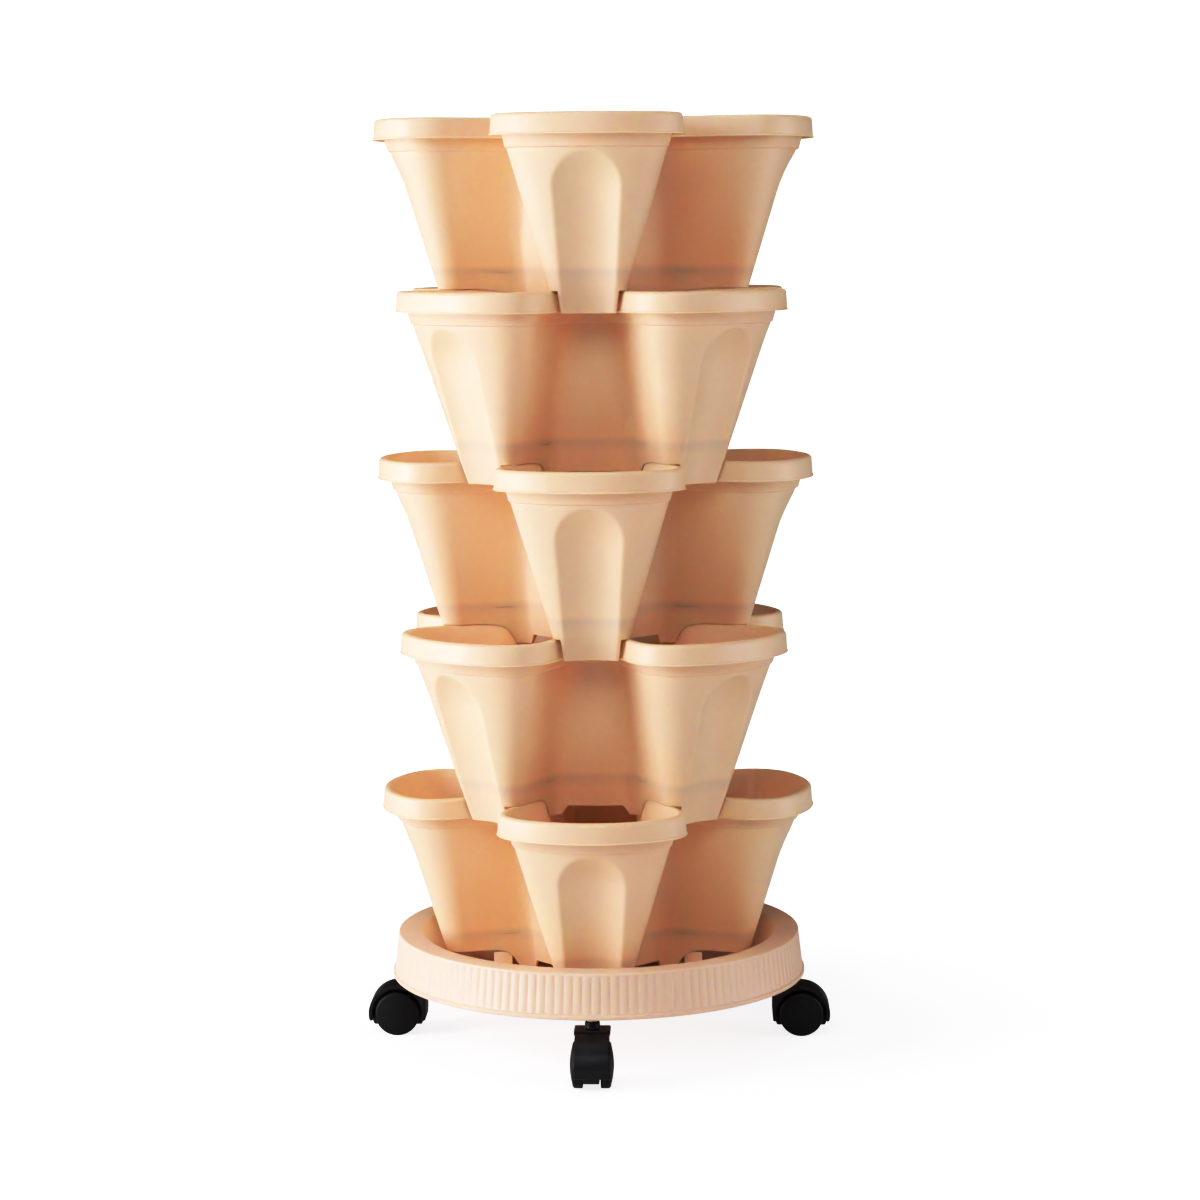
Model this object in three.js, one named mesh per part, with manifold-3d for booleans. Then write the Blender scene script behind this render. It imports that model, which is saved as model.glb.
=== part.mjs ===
// Stackable planter tower: five four-lobed pots, each turned half a lobe from the one below,
// standing in a round tray that rolls on four twin-wheel castors.
// Millimetres, +Z up, tower axis on Z, floor at Z = 0, front towards -Y.

import * as THREE from 'three';
import { mergeVertices } from 'three/addons/utils/BufferGeometryUtils.js';
import loadManifold from 'manifold-3d';

const manifold = await loadManifold();
manifold.setup();

// Counts
const POT_COUNT = 5;
const LOBE_COUNT = 4;
const FLUTE_COUNT = 144;
const CORNER_STEPS = 3;
const VALLEY_STEPS = 2;
const FACE_SKIPS = [1];
const BAND_SKIPS = [1, 3 + CORNER_STEPS];
const TRAY_SIDES = 48;
const ROUND_SIDES = 12;
const WHEEL_SIDES = 12;
const ARCH_SIDES = 7;

// Fits shared by every piece
const GAP = 0.3;
const OVERRUN = 5;

// Pot outlines. Each is one lobe: tip radius from the tower axis, radius of the round front,
// radius of its corners, half width, fillet in the valley between two lobes, distance of the
// valley wall from the axis and half length of that wall's flat stretch.
const RIM = { tip: 173.5, front: 105, corner: 36, half: 72.4, fillet: 9.5, valley: 73, flat: 2 };
const SHOULDER = { tip: 156.4, front: 98, corner: 26, half: 60, fillet: 21.5, valley: 61, flat: 3 };
const FOOT = { tip: 119.6, front: 60, corner: 12, half: 24.4, fillet: 20, valley: 49, flat: 25 };

// Pot heights, most of them as depths below the top of the rim
const POT_HEIGHT = 150.5;
const NEST_DEPTH = 17.3;
const BAND_DEPTH = 16.3;
const COLLAR_DEPTH = 25.3;
const SHOULDER_DEPTH = 28;
const ARCH_DEPTH = 45;
const WAIST_DEPTH = 62;
const FLOOR_HEIGHT = 30.5;

// Pot walls
const WALL = 2;
const FLOOR_THICKNESS = 2.6;
const LIP_WIDTH = 6.2;
const BAND_FLARE = 1.5;
const COLLAR_LEAN = 6.3;
const TIP_FLARE = 3;
const SLOT_CLEARANCE = 0.6;
const SLOT_ROOM = 2.6;
const FACE_POINT_SHARE = 0.62;

// Flute with a round arch in the face of each lobe
const ARCH_TOP_DEPTH = 28.5;
const ARCH_RADIUS = 26;
const ARCH_FOOT_HALF = 20;
const ARCH_SCOOP = 12;

// Openings low in the pot
const CUTOUT_TOP_HALF = 22;
const CUTOUT_FOOT_HALF = 27.5;
const CUTOUT_HEIGHT = 8;
const DRAIN_RADIUS = 4.5;
const DRAIN_PLACE_SHARE = 0.68;

// Tray
const TRAY_HEIGHT = 35.4;
const TRAY_FLOOR = 3;
const TRAY_WALL = 2;
const FOOT_ROOM = 3;
const TRAY_LEAN = 21;
const TRAY_SHELF = 19.2;
const TRAY_FLARE = 3.6;
const TRAY_LIP_HEIGHT = 3.6;
const TRAY_LIP_WIDTH = 1.3;
const FLUTE_DEPTH = 0.8;
const LUG_SHORTFALL = 1.8;
const LUG_START = 70;
const LUG_END = 84.5;
const LUG_SIDE = 4;
const BOSS_RADIUS = 4.9;
const BOSS_DROP = 4.7;
const RIB_THICKNESS = 2;
const RIB_BOTTOM = 8;

// Castors
const WHEEL_RADIUS = 18;
const TRAIL = 16;
const STEM_INSET = 5.4;
const STEM_RADIUS = 3.2;
const STEM_HEAD_RADIUS = 4.6;
const STEM_HEAD_HEIGHT = 2;
const STEM_TIP_GAP = 8;
const STEM_CAP = 11;
const NECK_RADIUS = 5.85;
const NECK_HEIGHT = 5;
const HOOD_GAP = 2.5;
const HOOD_SHELL = 3;
const HOOD_WIDTH = 26;
const PLATE_WIDTH = 28;
const PLATE_THICKNESS = 4;
const PLATE_RISE = 1.5;
const PLATE_REACH = 11;
const SKIRT_HEIGHT = 12;
const WEB_HALF = 6.3;
const WEB_HEIGHT = 7.7;
const WHEEL_INNER = 7;
const WHEEL_TREAD = 7;
const WHEEL_EDGE = 1.2;
const WHEEL_DOME = 3;
const AXLE_RADIUS = 2;
const AXLE_SPARE = 2.2;

// Colours
const POT_COLOUR = '#f6d3ad';
const TRAY_COLOUR = '#f2cbab';
const CASTOR_COLOUR = '#1b1b1c';
const STEEL_COLOUR = '#a9abad';

// Places worked out from the sizes above
const LOBE_TURN = (2 * Math.PI) / LOBE_COUNT;
const HALF_TURN = LOBE_TURN / 2;
const ARCH_CENTRE_DEPTH = ARCH_TOP_DEPTH + ARCH_RADIUS;
const HOOD_RADIUS = WHEEL_RADIUS + HOOD_GAP + HOOD_SHELL;
const WELL_RADIUS = WHEEL_RADIUS + HOOD_GAP;
const PLATE_TOP = WHEEL_RADIUS + HOOD_RADIUS + PLATE_RISE;
const NECK_TOP = PLATE_TOP + NECK_HEIGHT;
const TRAY_BOTTOM = NECK_TOP + GAP + BOSS_DROP;
const TRAY_TOP = TRAY_BOTTOM + TRAY_HEIGHT;
const TRAY_FLOOR_TOP = TRAY_BOTTOM + TRAY_FLOOR;
const POT_PITCH = POT_HEIGHT - NEST_DEPTH + GAP;
const TRAY_FLOOR_RADIUS = FOOT.tip + FOOT_ROOM;
const TRAY_OPENING = TRAY_FLOOR_RADIUS + TRAY_LEAN;
const TRAY_TOP_RADIUS = TRAY_OPENING + TRAY_SHELF;
const TRAY_BASE_RADIUS = TRAY_TOP_RADIUS + TRAY_FLARE;
const TRAY_LIP_RADIUS = TRAY_BASE_RADIUS + TRAY_LIP_WIDTH;
const STEM_CIRCLE = TRAY_OPENING + STEM_INSET;
const COLLAR_SLOPE = COLLAR_LEAN / COLLAR_DEPTH;

// Outline helpers
const lerp = THREE.MathUtils.lerp;
const polar = (centre, radius, angle) =>
  new THREE.Vector2(centre.x + radius * Math.cos(angle), centre.y + radius * Math.sin(angle));

function offset(outline, distance) {
  const { tip, front, corner, half, fillet, valley, flat } = outline;
  return {
    tip: tip + distance,
    front: front + distance,
    corner: corner + distance,
    half: half + distance,
    fillet: fillet - distance,
    valley: valley + distance,
    flat,
  };
}

function blend(first, second, share) {
  const mixed = {};
  for (const key of Object.keys(first)) mixed[key] = lerp(first[key], second[key], share);
  return mixed;
}

// Half a lobe from the middle of its face to the middle of the valley beside it:
// round front, corner, straight flank, fillet, flat valley wall.
function halfLobe(outline, faceHalf) {
  const { tip, front, corner, half, fillet, valley, flat } = outline;
  const frontCentre = new THREE.Vector2(tip - front, 0);
  const rise = half - corner;
  const cornerCentre = new THREE.Vector2(
    frontCentre.x + Math.sqrt((front - corner) ** 2 - rise ** 2), rise);
  const joinAngle = Math.atan2(rise, cornerCentre.x - frontCentre.x);
  const across = new THREE.Vector2(Math.cos(HALF_TURN), Math.sin(HALF_TURN));
  const along = new THREE.Vector2(across.y, -across.x);
  const filletCentre = across.clone().multiplyScalar(valley + fillet).addScaledVector(along, flat);
  const between = filletCentre.clone().sub(cornerCentre);
  const flankAngle = between.angle() + Math.asin((corner + fillet) / between.length()) - Math.PI;

  const onFace = (angle) => (angle <= joinAngle
    ? polar(frontCentre, front, angle)
    : polar(cornerCentre, corner, angle));
  const angleAt = (side) => (side <= front * Math.sin(joinAngle)
    ? Math.asin(side / front)
    : Math.asin((side - rise) / corner));

  const points = [onFace(0), onFace(angleAt(faceHalf / 2))];
  const firstAngle = angleAt(faceHalf);
  const lastAngle = flankAngle + Math.PI / 2;
  for (let step = 0; step <= CORNER_STEPS; step += 1) {
    points.push(onFace(lerp(firstAngle, lastAngle, step / CORNER_STEPS)));
  }
  const filletStart = flankAngle - Math.PI / 2;
  const filletEnd = HALF_TURN - Math.PI;
  const filletLength = fillet * (filletStart - filletEnd);
  for (let step = 0; step < VALLEY_STEPS; step += 1) {
    const travelled = ((filletLength + flat) * step) / VALLEY_STEPS;
    const onFillet = Math.min(travelled, filletLength);
    const point = polar(filletCentre, fillet, filletStart - onFillet / fillet);
    points.push(point.addScaledVector(along, onFillet - travelled));
  }
  points.push(across.clone().multiplyScalar(valley));
  return points;
}

// Half width of the round-arched flute in a lobe's face, and how far it is pressed in at a
// distance from the middle of that face
function archHalf(depth) {
  const below = Math.max(depth - ARCH_CENTRE_DEPTH, 0) / (POT_HEIGHT - ARCH_CENTRE_DEPTH);
  return lerp(ARCH_RADIUS, ARCH_FOOT_HALF, below);
}

function scoop(side, depth) {
  const half = archHalf(depth);
  const away = Math.hypot(side, Math.min(depth - ARCH_CENTRE_DEPTH, 0)) / half;
  return away >= 1 ? 0 : ARCH_SCOOP * (half / ARCH_RADIUS) * (1 - away ** 2);
}

// The closed outline of all lobes at one depth below the rim. Each point keeps its place on the
// way round, so that outlines with more and with fewer points can be joined.
function ring(outline, depth, faceHalf, scooped, skipped = []) {
  const half = halfLobe(outline, faceHalf);
  const last = half.length - 1;
  const points = [];
  for (let index = 0; index < LOBE_COUNT; index += 1) {
    for (let step = 1 - last; step <= last; step += 1) {
      if (skipped.includes(Math.abs(step))) continue;
      const point = half[Math.abs(step)];
      const pressed = scooped ? scoop(point.y, depth) : 0;
      const placed = new THREE.Vector2(point.x - pressed, Math.sign(step) * point.y);
      placed.rotateAround(new THREE.Vector2(), index * LOBE_TURN);
      const corner = new THREE.Vector3(placed.x, placed.y, POT_HEIGHT - depth);
      corner.place = index + (step + last) / (2 * last);
      points.push(corner);
    }
  }
  return points;
}

const bandRing = (distance, depth) =>
  ring(offset(RIM, distance), depth, FACE_POINT_SHARE * (RIM.half + distance), false, BAND_SKIPS);
const innerRing = (distance, depth) =>
  ring(offset(RIM, distance), depth, ARCH_RADIUS, false, FACE_SKIPS);

function bodyOutline(depth) {
  const down = (depth - SHOULDER_DEPTH) / (POT_HEIGHT - SHOULDER_DEPTH);
  const outline = blend(SHOULDER, FOOT, down);
  const flare = Math.max(WAIST_DEPTH - depth, 0) / (WAIST_DEPTH - SHOULDER_DEPTH);
  outline.tip += TIP_FLARE * flare ** 2;
  return outline;
}

const bodyRing = (distance, depth) =>
  ring(offset(bodyOutline(depth), distance), depth, archHalf(depth), true);
const shoulderRing = (distance) =>
  ring(offset(bodyOutline(SHOULDER_DEPTH), distance), SHOULDER_DEPTH, ARCH_RADIUS, false, FACE_SKIPS);

// Solids from rings of points
function solidFrom(vertices, triangles) {
  const geometry = new THREE.BufferGeometry();
  const positions = vertices.flatMap((vertex) => [vertex.x, vertex.y, vertex.z]);
  geometry.setAttribute('position', new THREE.Float32BufferAttribute(positions, 3));
  geometry.setIndex(triangles.flat());
  return toManifold(geometry);
}

// Faces between two outlines, stepping along whichever lags behind
function zip(upper, lower, upperStart, lowerStart) {
  const triangles = [];
  const placeOf = (points, index) => (index < points.length ? points[index].place : Infinity);
  let [i, j] = [0, 0];
  while (i < upper.length || j < lower.length) {
    const [nextUpper, nextLower] = [placeOf(upper, i + 1), placeOf(lower, j + 1)];
    const a = upperStart + (i % upper.length);
    const b = lowerStart + (j % lower.length);
    if (j >= lower.length || (i < upper.length && nextUpper <= nextLower)) {
      i += 1;
      triangles.push([a, b, upperStart + (i % upper.length)]);
    } else {
      j += 1;
      triangles.push([a, b, lowerStart + (j % lower.length)]);
    }
  }
  return triangles;
}

function loft(rings, closed) {
  const starts = [];
  let count = 0;
  for (const points of rings) {
    starts.push(count);
    count += points.length;
  }
  const triangles = [];
  const spans = closed ? rings.length : rings.length - 1;
  for (let span = 0; span < spans; span += 1) {
    const next = (span + 1) % rings.length;
    triangles.push(...zip(rings[span], rings[next], starts[span], starts[next]));
  }
  if (!closed) {
    const last = starts[rings.length - 1];
    for (const face of THREE.ShapeUtils.triangulateShape(rings[0], [])) triangles.push(face);
    for (const [a, b, c] of THREE.ShapeUtils.triangulateShape(rings[rings.length - 1], [])) {
      triangles.push([last + a, last + c, last + b]);
    }
  }
  return solidFrom(rings.flat(), triangles);
}

// Between three.js geometry and manifold solids
function signedVolume(positions, index) {
  const [a, b, c] = [new THREE.Vector3(), new THREE.Vector3(), new THREE.Vector3()];
  let sum = 0;
  for (let start = 0; start < index.length; start += 3) {
    a.fromArray(positions, 3 * index[start]);
    b.fromArray(positions, 3 * index[start + 1]);
    c.fromArray(positions, 3 * index[start + 2]);
    sum += a.dot(b.cross(c));
  }
  return sum;
}

function toManifold(geometry) {
  const bare = geometry.clone();
  bare.deleteAttribute('normal');
  bare.deleteAttribute('uv');
  const merged = mergeVertices(bare);
  const positions = merged.attributes.position.array;
  const kept = [];
  for (let start = 0; start < merged.index.count; start += 3) {
    const [a, b, c] = [0, 1, 2].map((step) => merged.index.getX(start + step));
    if (a !== b && b !== c && c !== a) kept.push([a, b, c]);
  }
  const outward = signedVolume(positions, kept.flat()) > 0;
  const faces = kept.map(([a, b, c]) => (outward ? [a, b, c] : [a, c, b]));
  const mesh = new manifold.Mesh({
    numProp: 3,
    vertProperties: new Float32Array(positions),
    triVerts: new Uint32Array(faces.flat()),
  });
  return new manifold.Manifold(mesh);
}

function toGeometry(solid) {
  const mesh = solid.getMesh();
  const geometry = new THREE.BufferGeometry();
  geometry.setAttribute('position', new THREE.BufferAttribute(new Float32Array(mesh.vertProperties), 3));
  geometry.setIndex(new THREE.BufferAttribute(new Uint32Array(mesh.triVerts), 1));
  geometry.computeVertexNormals();
  return geometry;
}

const joined = (solids) => solids.reduce((whole, piece) => whole.add(piece));
const cut = (whole, pieces) => pieces.reduce((rest, piece) => rest.subtract(piece), whole);

// Radius of a faceted hole whose flats clear a round pin
const socket = (radius, sides = ROUND_SIDES) => (radius + GAP) / Math.cos(Math.PI / sides);

// An upright round pin between two heights
function upright(radius, bottom, top, x = 0, y = 0, sides = ROUND_SIDES) {
  const geometry = new THREE.CylinderGeometry(radius, radius, top - bottom, sides);
  geometry.rotateX(Math.PI / 2).translate(x, y, (bottom + top) / 2);
  return toManifold(geometry);
}

function block(x0, x1, y0, y1, z0, z1) {
  const geometry = new THREE.BoxGeometry(x1 - x0, y1 - y0, z1 - z0);
  geometry.translate((x0 + x1) / 2, (y0 + y1) / 2, (z0 + z1) / 2);
  return toManifold(geometry);
}

// A profile in the XZ plane, given a thickness along Y about Y = 0
function sideSlab(shape, width) {
  const settings = { depth: width, bevelEnabled: false, curveSegments: ARCH_SIDES };
  const geometry = new THREE.ExtrudeGeometry(shape, settings);
  geometry.rotateX(Math.PI / 2).translate(0, width / 2, 0);
  return toManifold(geometry);
}

function turnedAbout(solid, angle) {
  return solid.rotate([0, 0, THREE.MathUtils.radToDeg(angle)]);
}

// The rim of the pot below as a ring round the foot, moved out on its outer side and widened on
// its inner side. Its inner face leans in as the pot's inside does. Heights are from the foot up.
function rimRing(outer, inner, bottom, top) {
  const lip = offset(RIM, -LIP_WIDTH);
  const inside = (height) => {
    const share = (NEST_DEPTH - height) / SHOULDER_DEPTH;
    const wall = blend(lip, offset(bodyOutline(SHOULDER_DEPTH), -WALL), share);
    return ring(offset(wall, -inner), POT_HEIGHT - height, ARCH_RADIUS, false);
  };
  const outside = (height) => bandRing(outer, POT_HEIGHT - height);
  return turnedAbout(loft([outside(top), outside(bottom), inside(bottom), inside(top)], true), HALF_TURN);
}

// Pot: one thin wall from the floor plate up the inside, over the rim with its hanging band,
// down the lobed outside to the foot and back up inside the hollow foot.
function potShell() {
  const floorTop = POT_HEIGHT - FLOOR_HEIGHT - FLOOR_THICKNESS;
  const floorBottom = POT_HEIGHT - FLOOR_HEIGHT;
  const channelTop = WALL;
  return loft([
    bodyRing(-WALL, floorTop),
    bodyRing(-WALL, ARCH_DEPTH),
    shoulderRing(-WALL),
    innerRing(-LIP_WIDTH, 0),
    bandRing(0, 0),
    bandRing(BAND_FLARE, BAND_DEPTH),
    bandRing(BAND_FLARE - WALL, BAND_DEPTH),
    bandRing(WALL - LIP_WIDTH - COLLAR_SLOPE * channelTop, channelTop),
    innerRing(WALL - LIP_WIDTH - COLLAR_LEAN, COLLAR_DEPTH),
    shoulderRing(0),
    bodyRing(0, ARCH_DEPTH),
    bodyRing(0, POT_HEIGHT),
    bodyRing(-WALL, POT_HEIGHT),
    bodyRing(-WALL, floorBottom),
  ], false);
}

// Trapezoid opening at the bottom of each valley wall
function valleyCutouts() {
  const near = FOOT.valley - WALL - OVERRUN;
  const far = FOOT.valley + OVERRUN;
  const shape = new THREE.Shape([
    new THREE.Vector2(-CUTOUT_FOOT_HALF, -OVERRUN),
    new THREE.Vector2(CUTOUT_FOOT_HALF, -OVERRUN),
    new THREE.Vector2(CUTOUT_FOOT_HALF, 0),
    new THREE.Vector2(CUTOUT_TOP_HALF, CUTOUT_HEIGHT),
    new THREE.Vector2(-CUTOUT_TOP_HALF, CUTOUT_HEIGHT),
    new THREE.Vector2(-CUTOUT_FOOT_HALF, 0),
  ]);
  const prism = sideSlab(shape, far - near).translate([0, -(near + far) / 2, 0]);
  const turns = Array.from({ length: LOBE_COUNT }, (unused, index) => HALF_TURN + index * LOBE_TURN);
  return turns.map((turn) => turnedAbout(prism, turn));
}

function drainHoles() {
  const bottom = FLOOR_HEIGHT - OVERRUN;
  const top = FLOOR_HEIGHT + FLOOR_THICKNESS + OVERRUN;
  const hole = upright(DRAIN_RADIUS, bottom, top, DRAIN_PLACE_SHARE * FOOT.tip);
  const lobes = Array.from({ length: LOBE_COUNT }, (unused, index) => index * LOBE_TURN);
  return lobes.map((turn) => turnedAbout(hole, turn));
}

function pot() {
  const slots = rimRing(BAND_FLARE + SLOT_ROOM, SLOT_CLEARANCE, -OVERRUN, NEST_DEPTH);
  return cut(potShell(), [slots, ...valleyCutouts(), ...drainHoles()]);
}

// Tray: a flat shelf round a sloping well, with ridge and hollow in turn down its outside
function trayRing(radius, height, sides, ridgeDepth = 0) {
  const points = [];
  for (let index = 0; index < sides; index += 1) {
    const inset = index % 2 ? ridgeDepth : 0;
    const point = polar(new THREE.Vector2(), radius - inset, (index / sides) * 2 * Math.PI);
    const corner = new THREE.Vector3(point.x, point.y, height);
    corner.place = index / sides;
    points.push(corner);
  }
  return points;
}

function trayShell() {
  const under = TRAY_TOP - TRAY_WALL;
  const wallSlope = TRAY_LEAN / (TRAY_HEIGHT - TRAY_FLOOR);
  const lipTop = TRAY_BOTTOM + TRAY_LIP_HEIGHT;
  const ridges = 2 * FLUTE_COUNT;
  return loft([
    trayRing(TRAY_FLOOR_RADIUS, TRAY_FLOOR_TOP, TRAY_SIDES),
    trayRing(TRAY_OPENING, TRAY_TOP, TRAY_SIDES),
    trayRing(TRAY_TOP_RADIUS, TRAY_TOP, ridges, FLUTE_DEPTH),
    trayRing(TRAY_BASE_RADIUS, lipTop, ridges, FLUTE_DEPTH),
    trayRing(TRAY_LIP_RADIUS, lipTop, TRAY_SIDES),
    trayRing(TRAY_LIP_RADIUS, TRAY_BOTTOM, TRAY_SIDES),
    trayRing(TRAY_BASE_RADIUS - TRAY_WALL, TRAY_BOTTOM, TRAY_SIDES),
    trayRing(TRAY_TOP_RADIUS - TRAY_WALL, under, TRAY_SIDES),
    trayRing(TRAY_OPENING + TRAY_WALL - wallSlope * TRAY_WALL, under, TRAY_SIDES),
    trayRing(TRAY_FLOOR_RADIUS, TRAY_BOTTOM, TRAY_SIDES),
  ], false);
}

// Short stretches of rim that fill the inner ends of the lowest pot's slots
function trayLugs() {
  const sunk = -TRAY_FLOOR / 2;
  const ringAround = rimRing(0, 0, sunk, NEST_DEPTH - LUG_SHORTFALL).translate([0, 0, TRAY_FLOOR_TOP]);
  const clips = [];
  for (let index = 0; index < LOBE_COUNT; index += 1) {
    for (const side of [-1, 1]) {
      const [y0, y1] = [LUG_SIDE * side, FOOT.half * side].sort((a, b) => a - b);
      const box = block(LUG_START, LUG_END, y0, y1, 0, TRAY_TOP);
      clips.push(turnedAbout(box, index * LOBE_TURN));
    }
  }
  return ringAround.intersect(joined(clips));
}

function trayBosses() {
  const bossTop = TRAY_TOP - TRAY_WALL / 2;
  const boss = upright(BOSS_RADIUS, TRAY_BOTTOM - BOSS_DROP, bossTop, STEM_CIRCLE);
  const ribBottom = TRAY_BOTTOM + RIB_BOTTOM;
  const share = (RIB_BOTTOM - TRAY_FLOOR) / (TRAY_HEIGHT - TRAY_FLOOR);
  const ribInner = TRAY_FLOOR_RADIUS + TRAY_LEAN * share + TRAY_WALL / 2;
  const ribOuter = TRAY_BASE_RADIUS - TRAY_WALL / 2;
  const shape = new THREE.Shape([
    new THREE.Vector2(ribInner, ribBottom),
    new THREE.Vector2(ribOuter - TRAY_FLARE * share, ribBottom),
    new THREE.Vector2(TRAY_TOP_RADIUS - TRAY_WALL, bossTop),
    new THREE.Vector2(TRAY_OPENING + TRAY_WALL / 2, bossTop),
  ]);
  const rib = sideSlab(shape, RIB_THICKNESS);
  const angles = Array.from({ length: LOBE_COUNT }, (unused, index) => index * LOBE_TURN);
  return angles.map((angle) => turnedAbout(boss.add(rib), angle));
}

function stemSockets() {
  const top = TRAY_TOP - STEM_TIP_GAP;
  const bore = upright(socket(STEM_RADIUS), TRAY_BOTTOM - BOSS_DROP - OVERRUN, top, STEM_CIRCLE);
  const angles = Array.from({ length: LOBE_COUNT }, (unused, index) => index * LOBE_TURN);
  return angles.map((angle) => turnedAbout(bore, angle));
}

function tray() {
  const body = joined([trayShell(), trayLugs(), ...trayBosses()]);
  return cut(body, stemSockets());
}

// Castor pieces, with the swivel axis on Z and the wheels trailing towards +X
function hoodShape() {
  const low = SKIRT_HEIGHT - WHEEL_RADIUS;
  const step = TRAIL - PLATE_REACH;
  const shape = new THREE.Shape();
  const lowAngle = Math.asin(low / HOOD_RADIUS);
  const highAngle = Math.PI / 2 + Math.asin(step / HOOD_RADIUS);
  shape.absarc(TRAIL, WHEEL_RADIUS, HOOD_RADIUS, lowAngle, highAngle, false);
  shape.lineTo(PLATE_REACH, PLATE_TOP);
  shape.lineTo(TRAIL - HOOD_RADIUS, PLATE_TOP);
  shape.lineTo(TRAIL - HOOD_RADIUS, SKIRT_HEIGHT);
  const wellAngle = Math.asin(low / WELL_RADIUS);
  shape.absarc(TRAIL, WHEEL_RADIUS, WELL_RADIUS, Math.PI - wellAngle, wellAngle, true);
  return shape;
}

function webShape() {
  const radius = WELL_RADIUS + HOOD_SHELL / 2;
  const lowAngle = Math.asin((WEB_HEIGHT - WHEEL_RADIUS) / radius);
  const shape = new THREE.Shape();
  shape.absarc(TRAIL, WHEEL_RADIUS, radius, lowAngle, Math.PI - lowAngle, false);
  return shape;
}

function castorHood() {
  const rear = TRAIL - HOOD_RADIUS;
  const half = PLATE_WIDTH / 2;
  const plate = block(rear, PLATE_REACH, -half, half, PLATE_TOP - PLATE_THICKNESS, PLATE_TOP);
  const neck = upright(NECK_RADIUS, PLATE_TOP - PLATE_THICKNESS, NECK_TOP);
  const cover = sideSlab(hoodShape(), HOOD_WIDTH);
  const web = sideSlab(webShape(), 2 * WEB_HALF);
  const pocketTop = PLATE_TOP - STEM_CAP + STEM_HEAD_HEIGHT + GAP;
  const stemBore = upright(socket(STEM_RADIUS), 0, NECK_TOP + OVERRUN);
  const headPocket = upright(socket(STEM_HEAD_RADIUS), 0, pocketTop);
  return cut(joined([cover, web, plate, neck]), [stemBore, headPocket, axleBore()]);
}

function alongAxle(radius, from, to, sides = ROUND_SIDES) {
  const geometry = new THREE.CylinderGeometry(radius, radius, to - from, sides);
  geometry.translate(TRAIL, (from + to) / 2, WHEEL_RADIUS);
  return toManifold(geometry);
}

function axleBore() {
  return alongAxle(socket(AXLE_RADIUS), -HOOD_WIDTH, HOOD_WIDTH);
}

function castorAxle() {
  const end = WHEEL_INNER + WHEEL_TREAD + WHEEL_DOME - AXLE_SPARE - GAP;
  return alongAxle(AXLE_RADIUS, -end, end);
}

function castorStem() {
  const headBottom = PLATE_TOP - STEM_CAP;
  const head = upright(STEM_HEAD_RADIUS, headBottom, headBottom + STEM_HEAD_HEIGHT);
  return head.add(upright(STEM_RADIUS, headBottom, TRAY_TOP - STEM_TIP_GAP - GAP));
}

// Wheel with a domed outer face and a blind bore, turned about the axle
function castorWheel(side) {
  const tread = WHEEL_INNER + WHEEL_TREAD;
  const dome = tread + WHEEL_DOME;
  const bore = socket(AXLE_RADIUS, WHEEL_SIDES);
  const profile = [
    [0, dome - AXLE_SPARE],
    [bore, dome - AXLE_SPARE],
    [bore, WHEEL_INNER],
    [WHEEL_RADIUS, WHEEL_INNER],
    [WHEEL_RADIUS, tread - WHEEL_EDGE],
    [WHEEL_RADIUS - WHEEL_EDGE, tread],
    [WHEEL_RADIUS / 2, dome - WHEEL_EDGE / 2],
    [0, dome],
  ];
  const points = profile.map(([radius, height]) => new THREE.Vector2(radius, side * height));
  const geometry = new THREE.LatheGeometry(points, WHEEL_SIDES);
  geometry.translate(TRAIL, 0, WHEEL_RADIUS);
  return toManifold(geometry);
}

// The scene
function material(colour, roughness, metalness) {
  return new THREE.MeshStandardMaterial({ color: colour, roughness, metalness });
}

function named(name, solid, colour, roughness, metalness) {
  const mesh = new THREE.Mesh(toGeometry(solid), material(colour, roughness, metalness));
  mesh.name = name;
  return mesh;
}

function castor(place, angle, shapes) {
  const group = new THREE.Group();
  group.position.set(STEM_CIRCLE * Math.cos(angle), STEM_CIRCLE * Math.sin(angle), 0);
  group.rotation.z = angle;
  group.add(named(`castor_${place}_hood`, shapes.hood, CASTOR_COLOUR, 0.45, 0));
  group.add(named(`castor_${place}_stem`, shapes.stem, STEEL_COLOUR, 0.35, 1));
  group.add(named(`castor_${place}_axle`, shapes.axle, STEEL_COLOUR, 0.35, 1));
  group.add(named(`castor_${place}_wheel_a`, shapes.wheelA, CASTOR_COLOUR, 0.5, 0));
  group.add(named(`castor_${place}_wheel_b`, shapes.wheelB, CASTOR_COLOUR, 0.5, 0));
  return group;
}

function tower() {
  const group = new THREE.Group();
  group.add(named('tray', tray(), TRAY_COLOUR, 0.55, 0));
  const potSolid = pot();
  for (let tier = 0; tier < POT_COUNT; tier += 1) {
    const mesh = named(`pot_${tier + 1}`, potSolid, POT_COLOUR, 0.5, 0);
    mesh.position.z = TRAY_FLOOR_TOP + GAP + tier * POT_PITCH;
    mesh.rotation.z = (tier % 2) * HALF_TURN;
    group.add(mesh);
  }
  const shapes = {
    hood: castorHood(),
    stem: castorStem(),
    axle: castorAxle(),
    wheelA: castorWheel(1),
    wheelB: castorWheel(-1),
  };
  ['right', 'back', 'left', 'front'].forEach((place, index) => {
    group.add(castor(place, index * LOBE_TURN, shapes));
  });
  return group;
}

export default tower();
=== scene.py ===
"""Looks of the stackable planter tower: moulded pots, fluted tray and twin-wheel castors.

Sizes are in millimetres in the named values and become metres where a mesh is made.
"""

import math
from dataclasses import astuple, dataclass

import bmesh
import bpy
import numpy as np
from mathutils import Matrix, Vector


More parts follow.
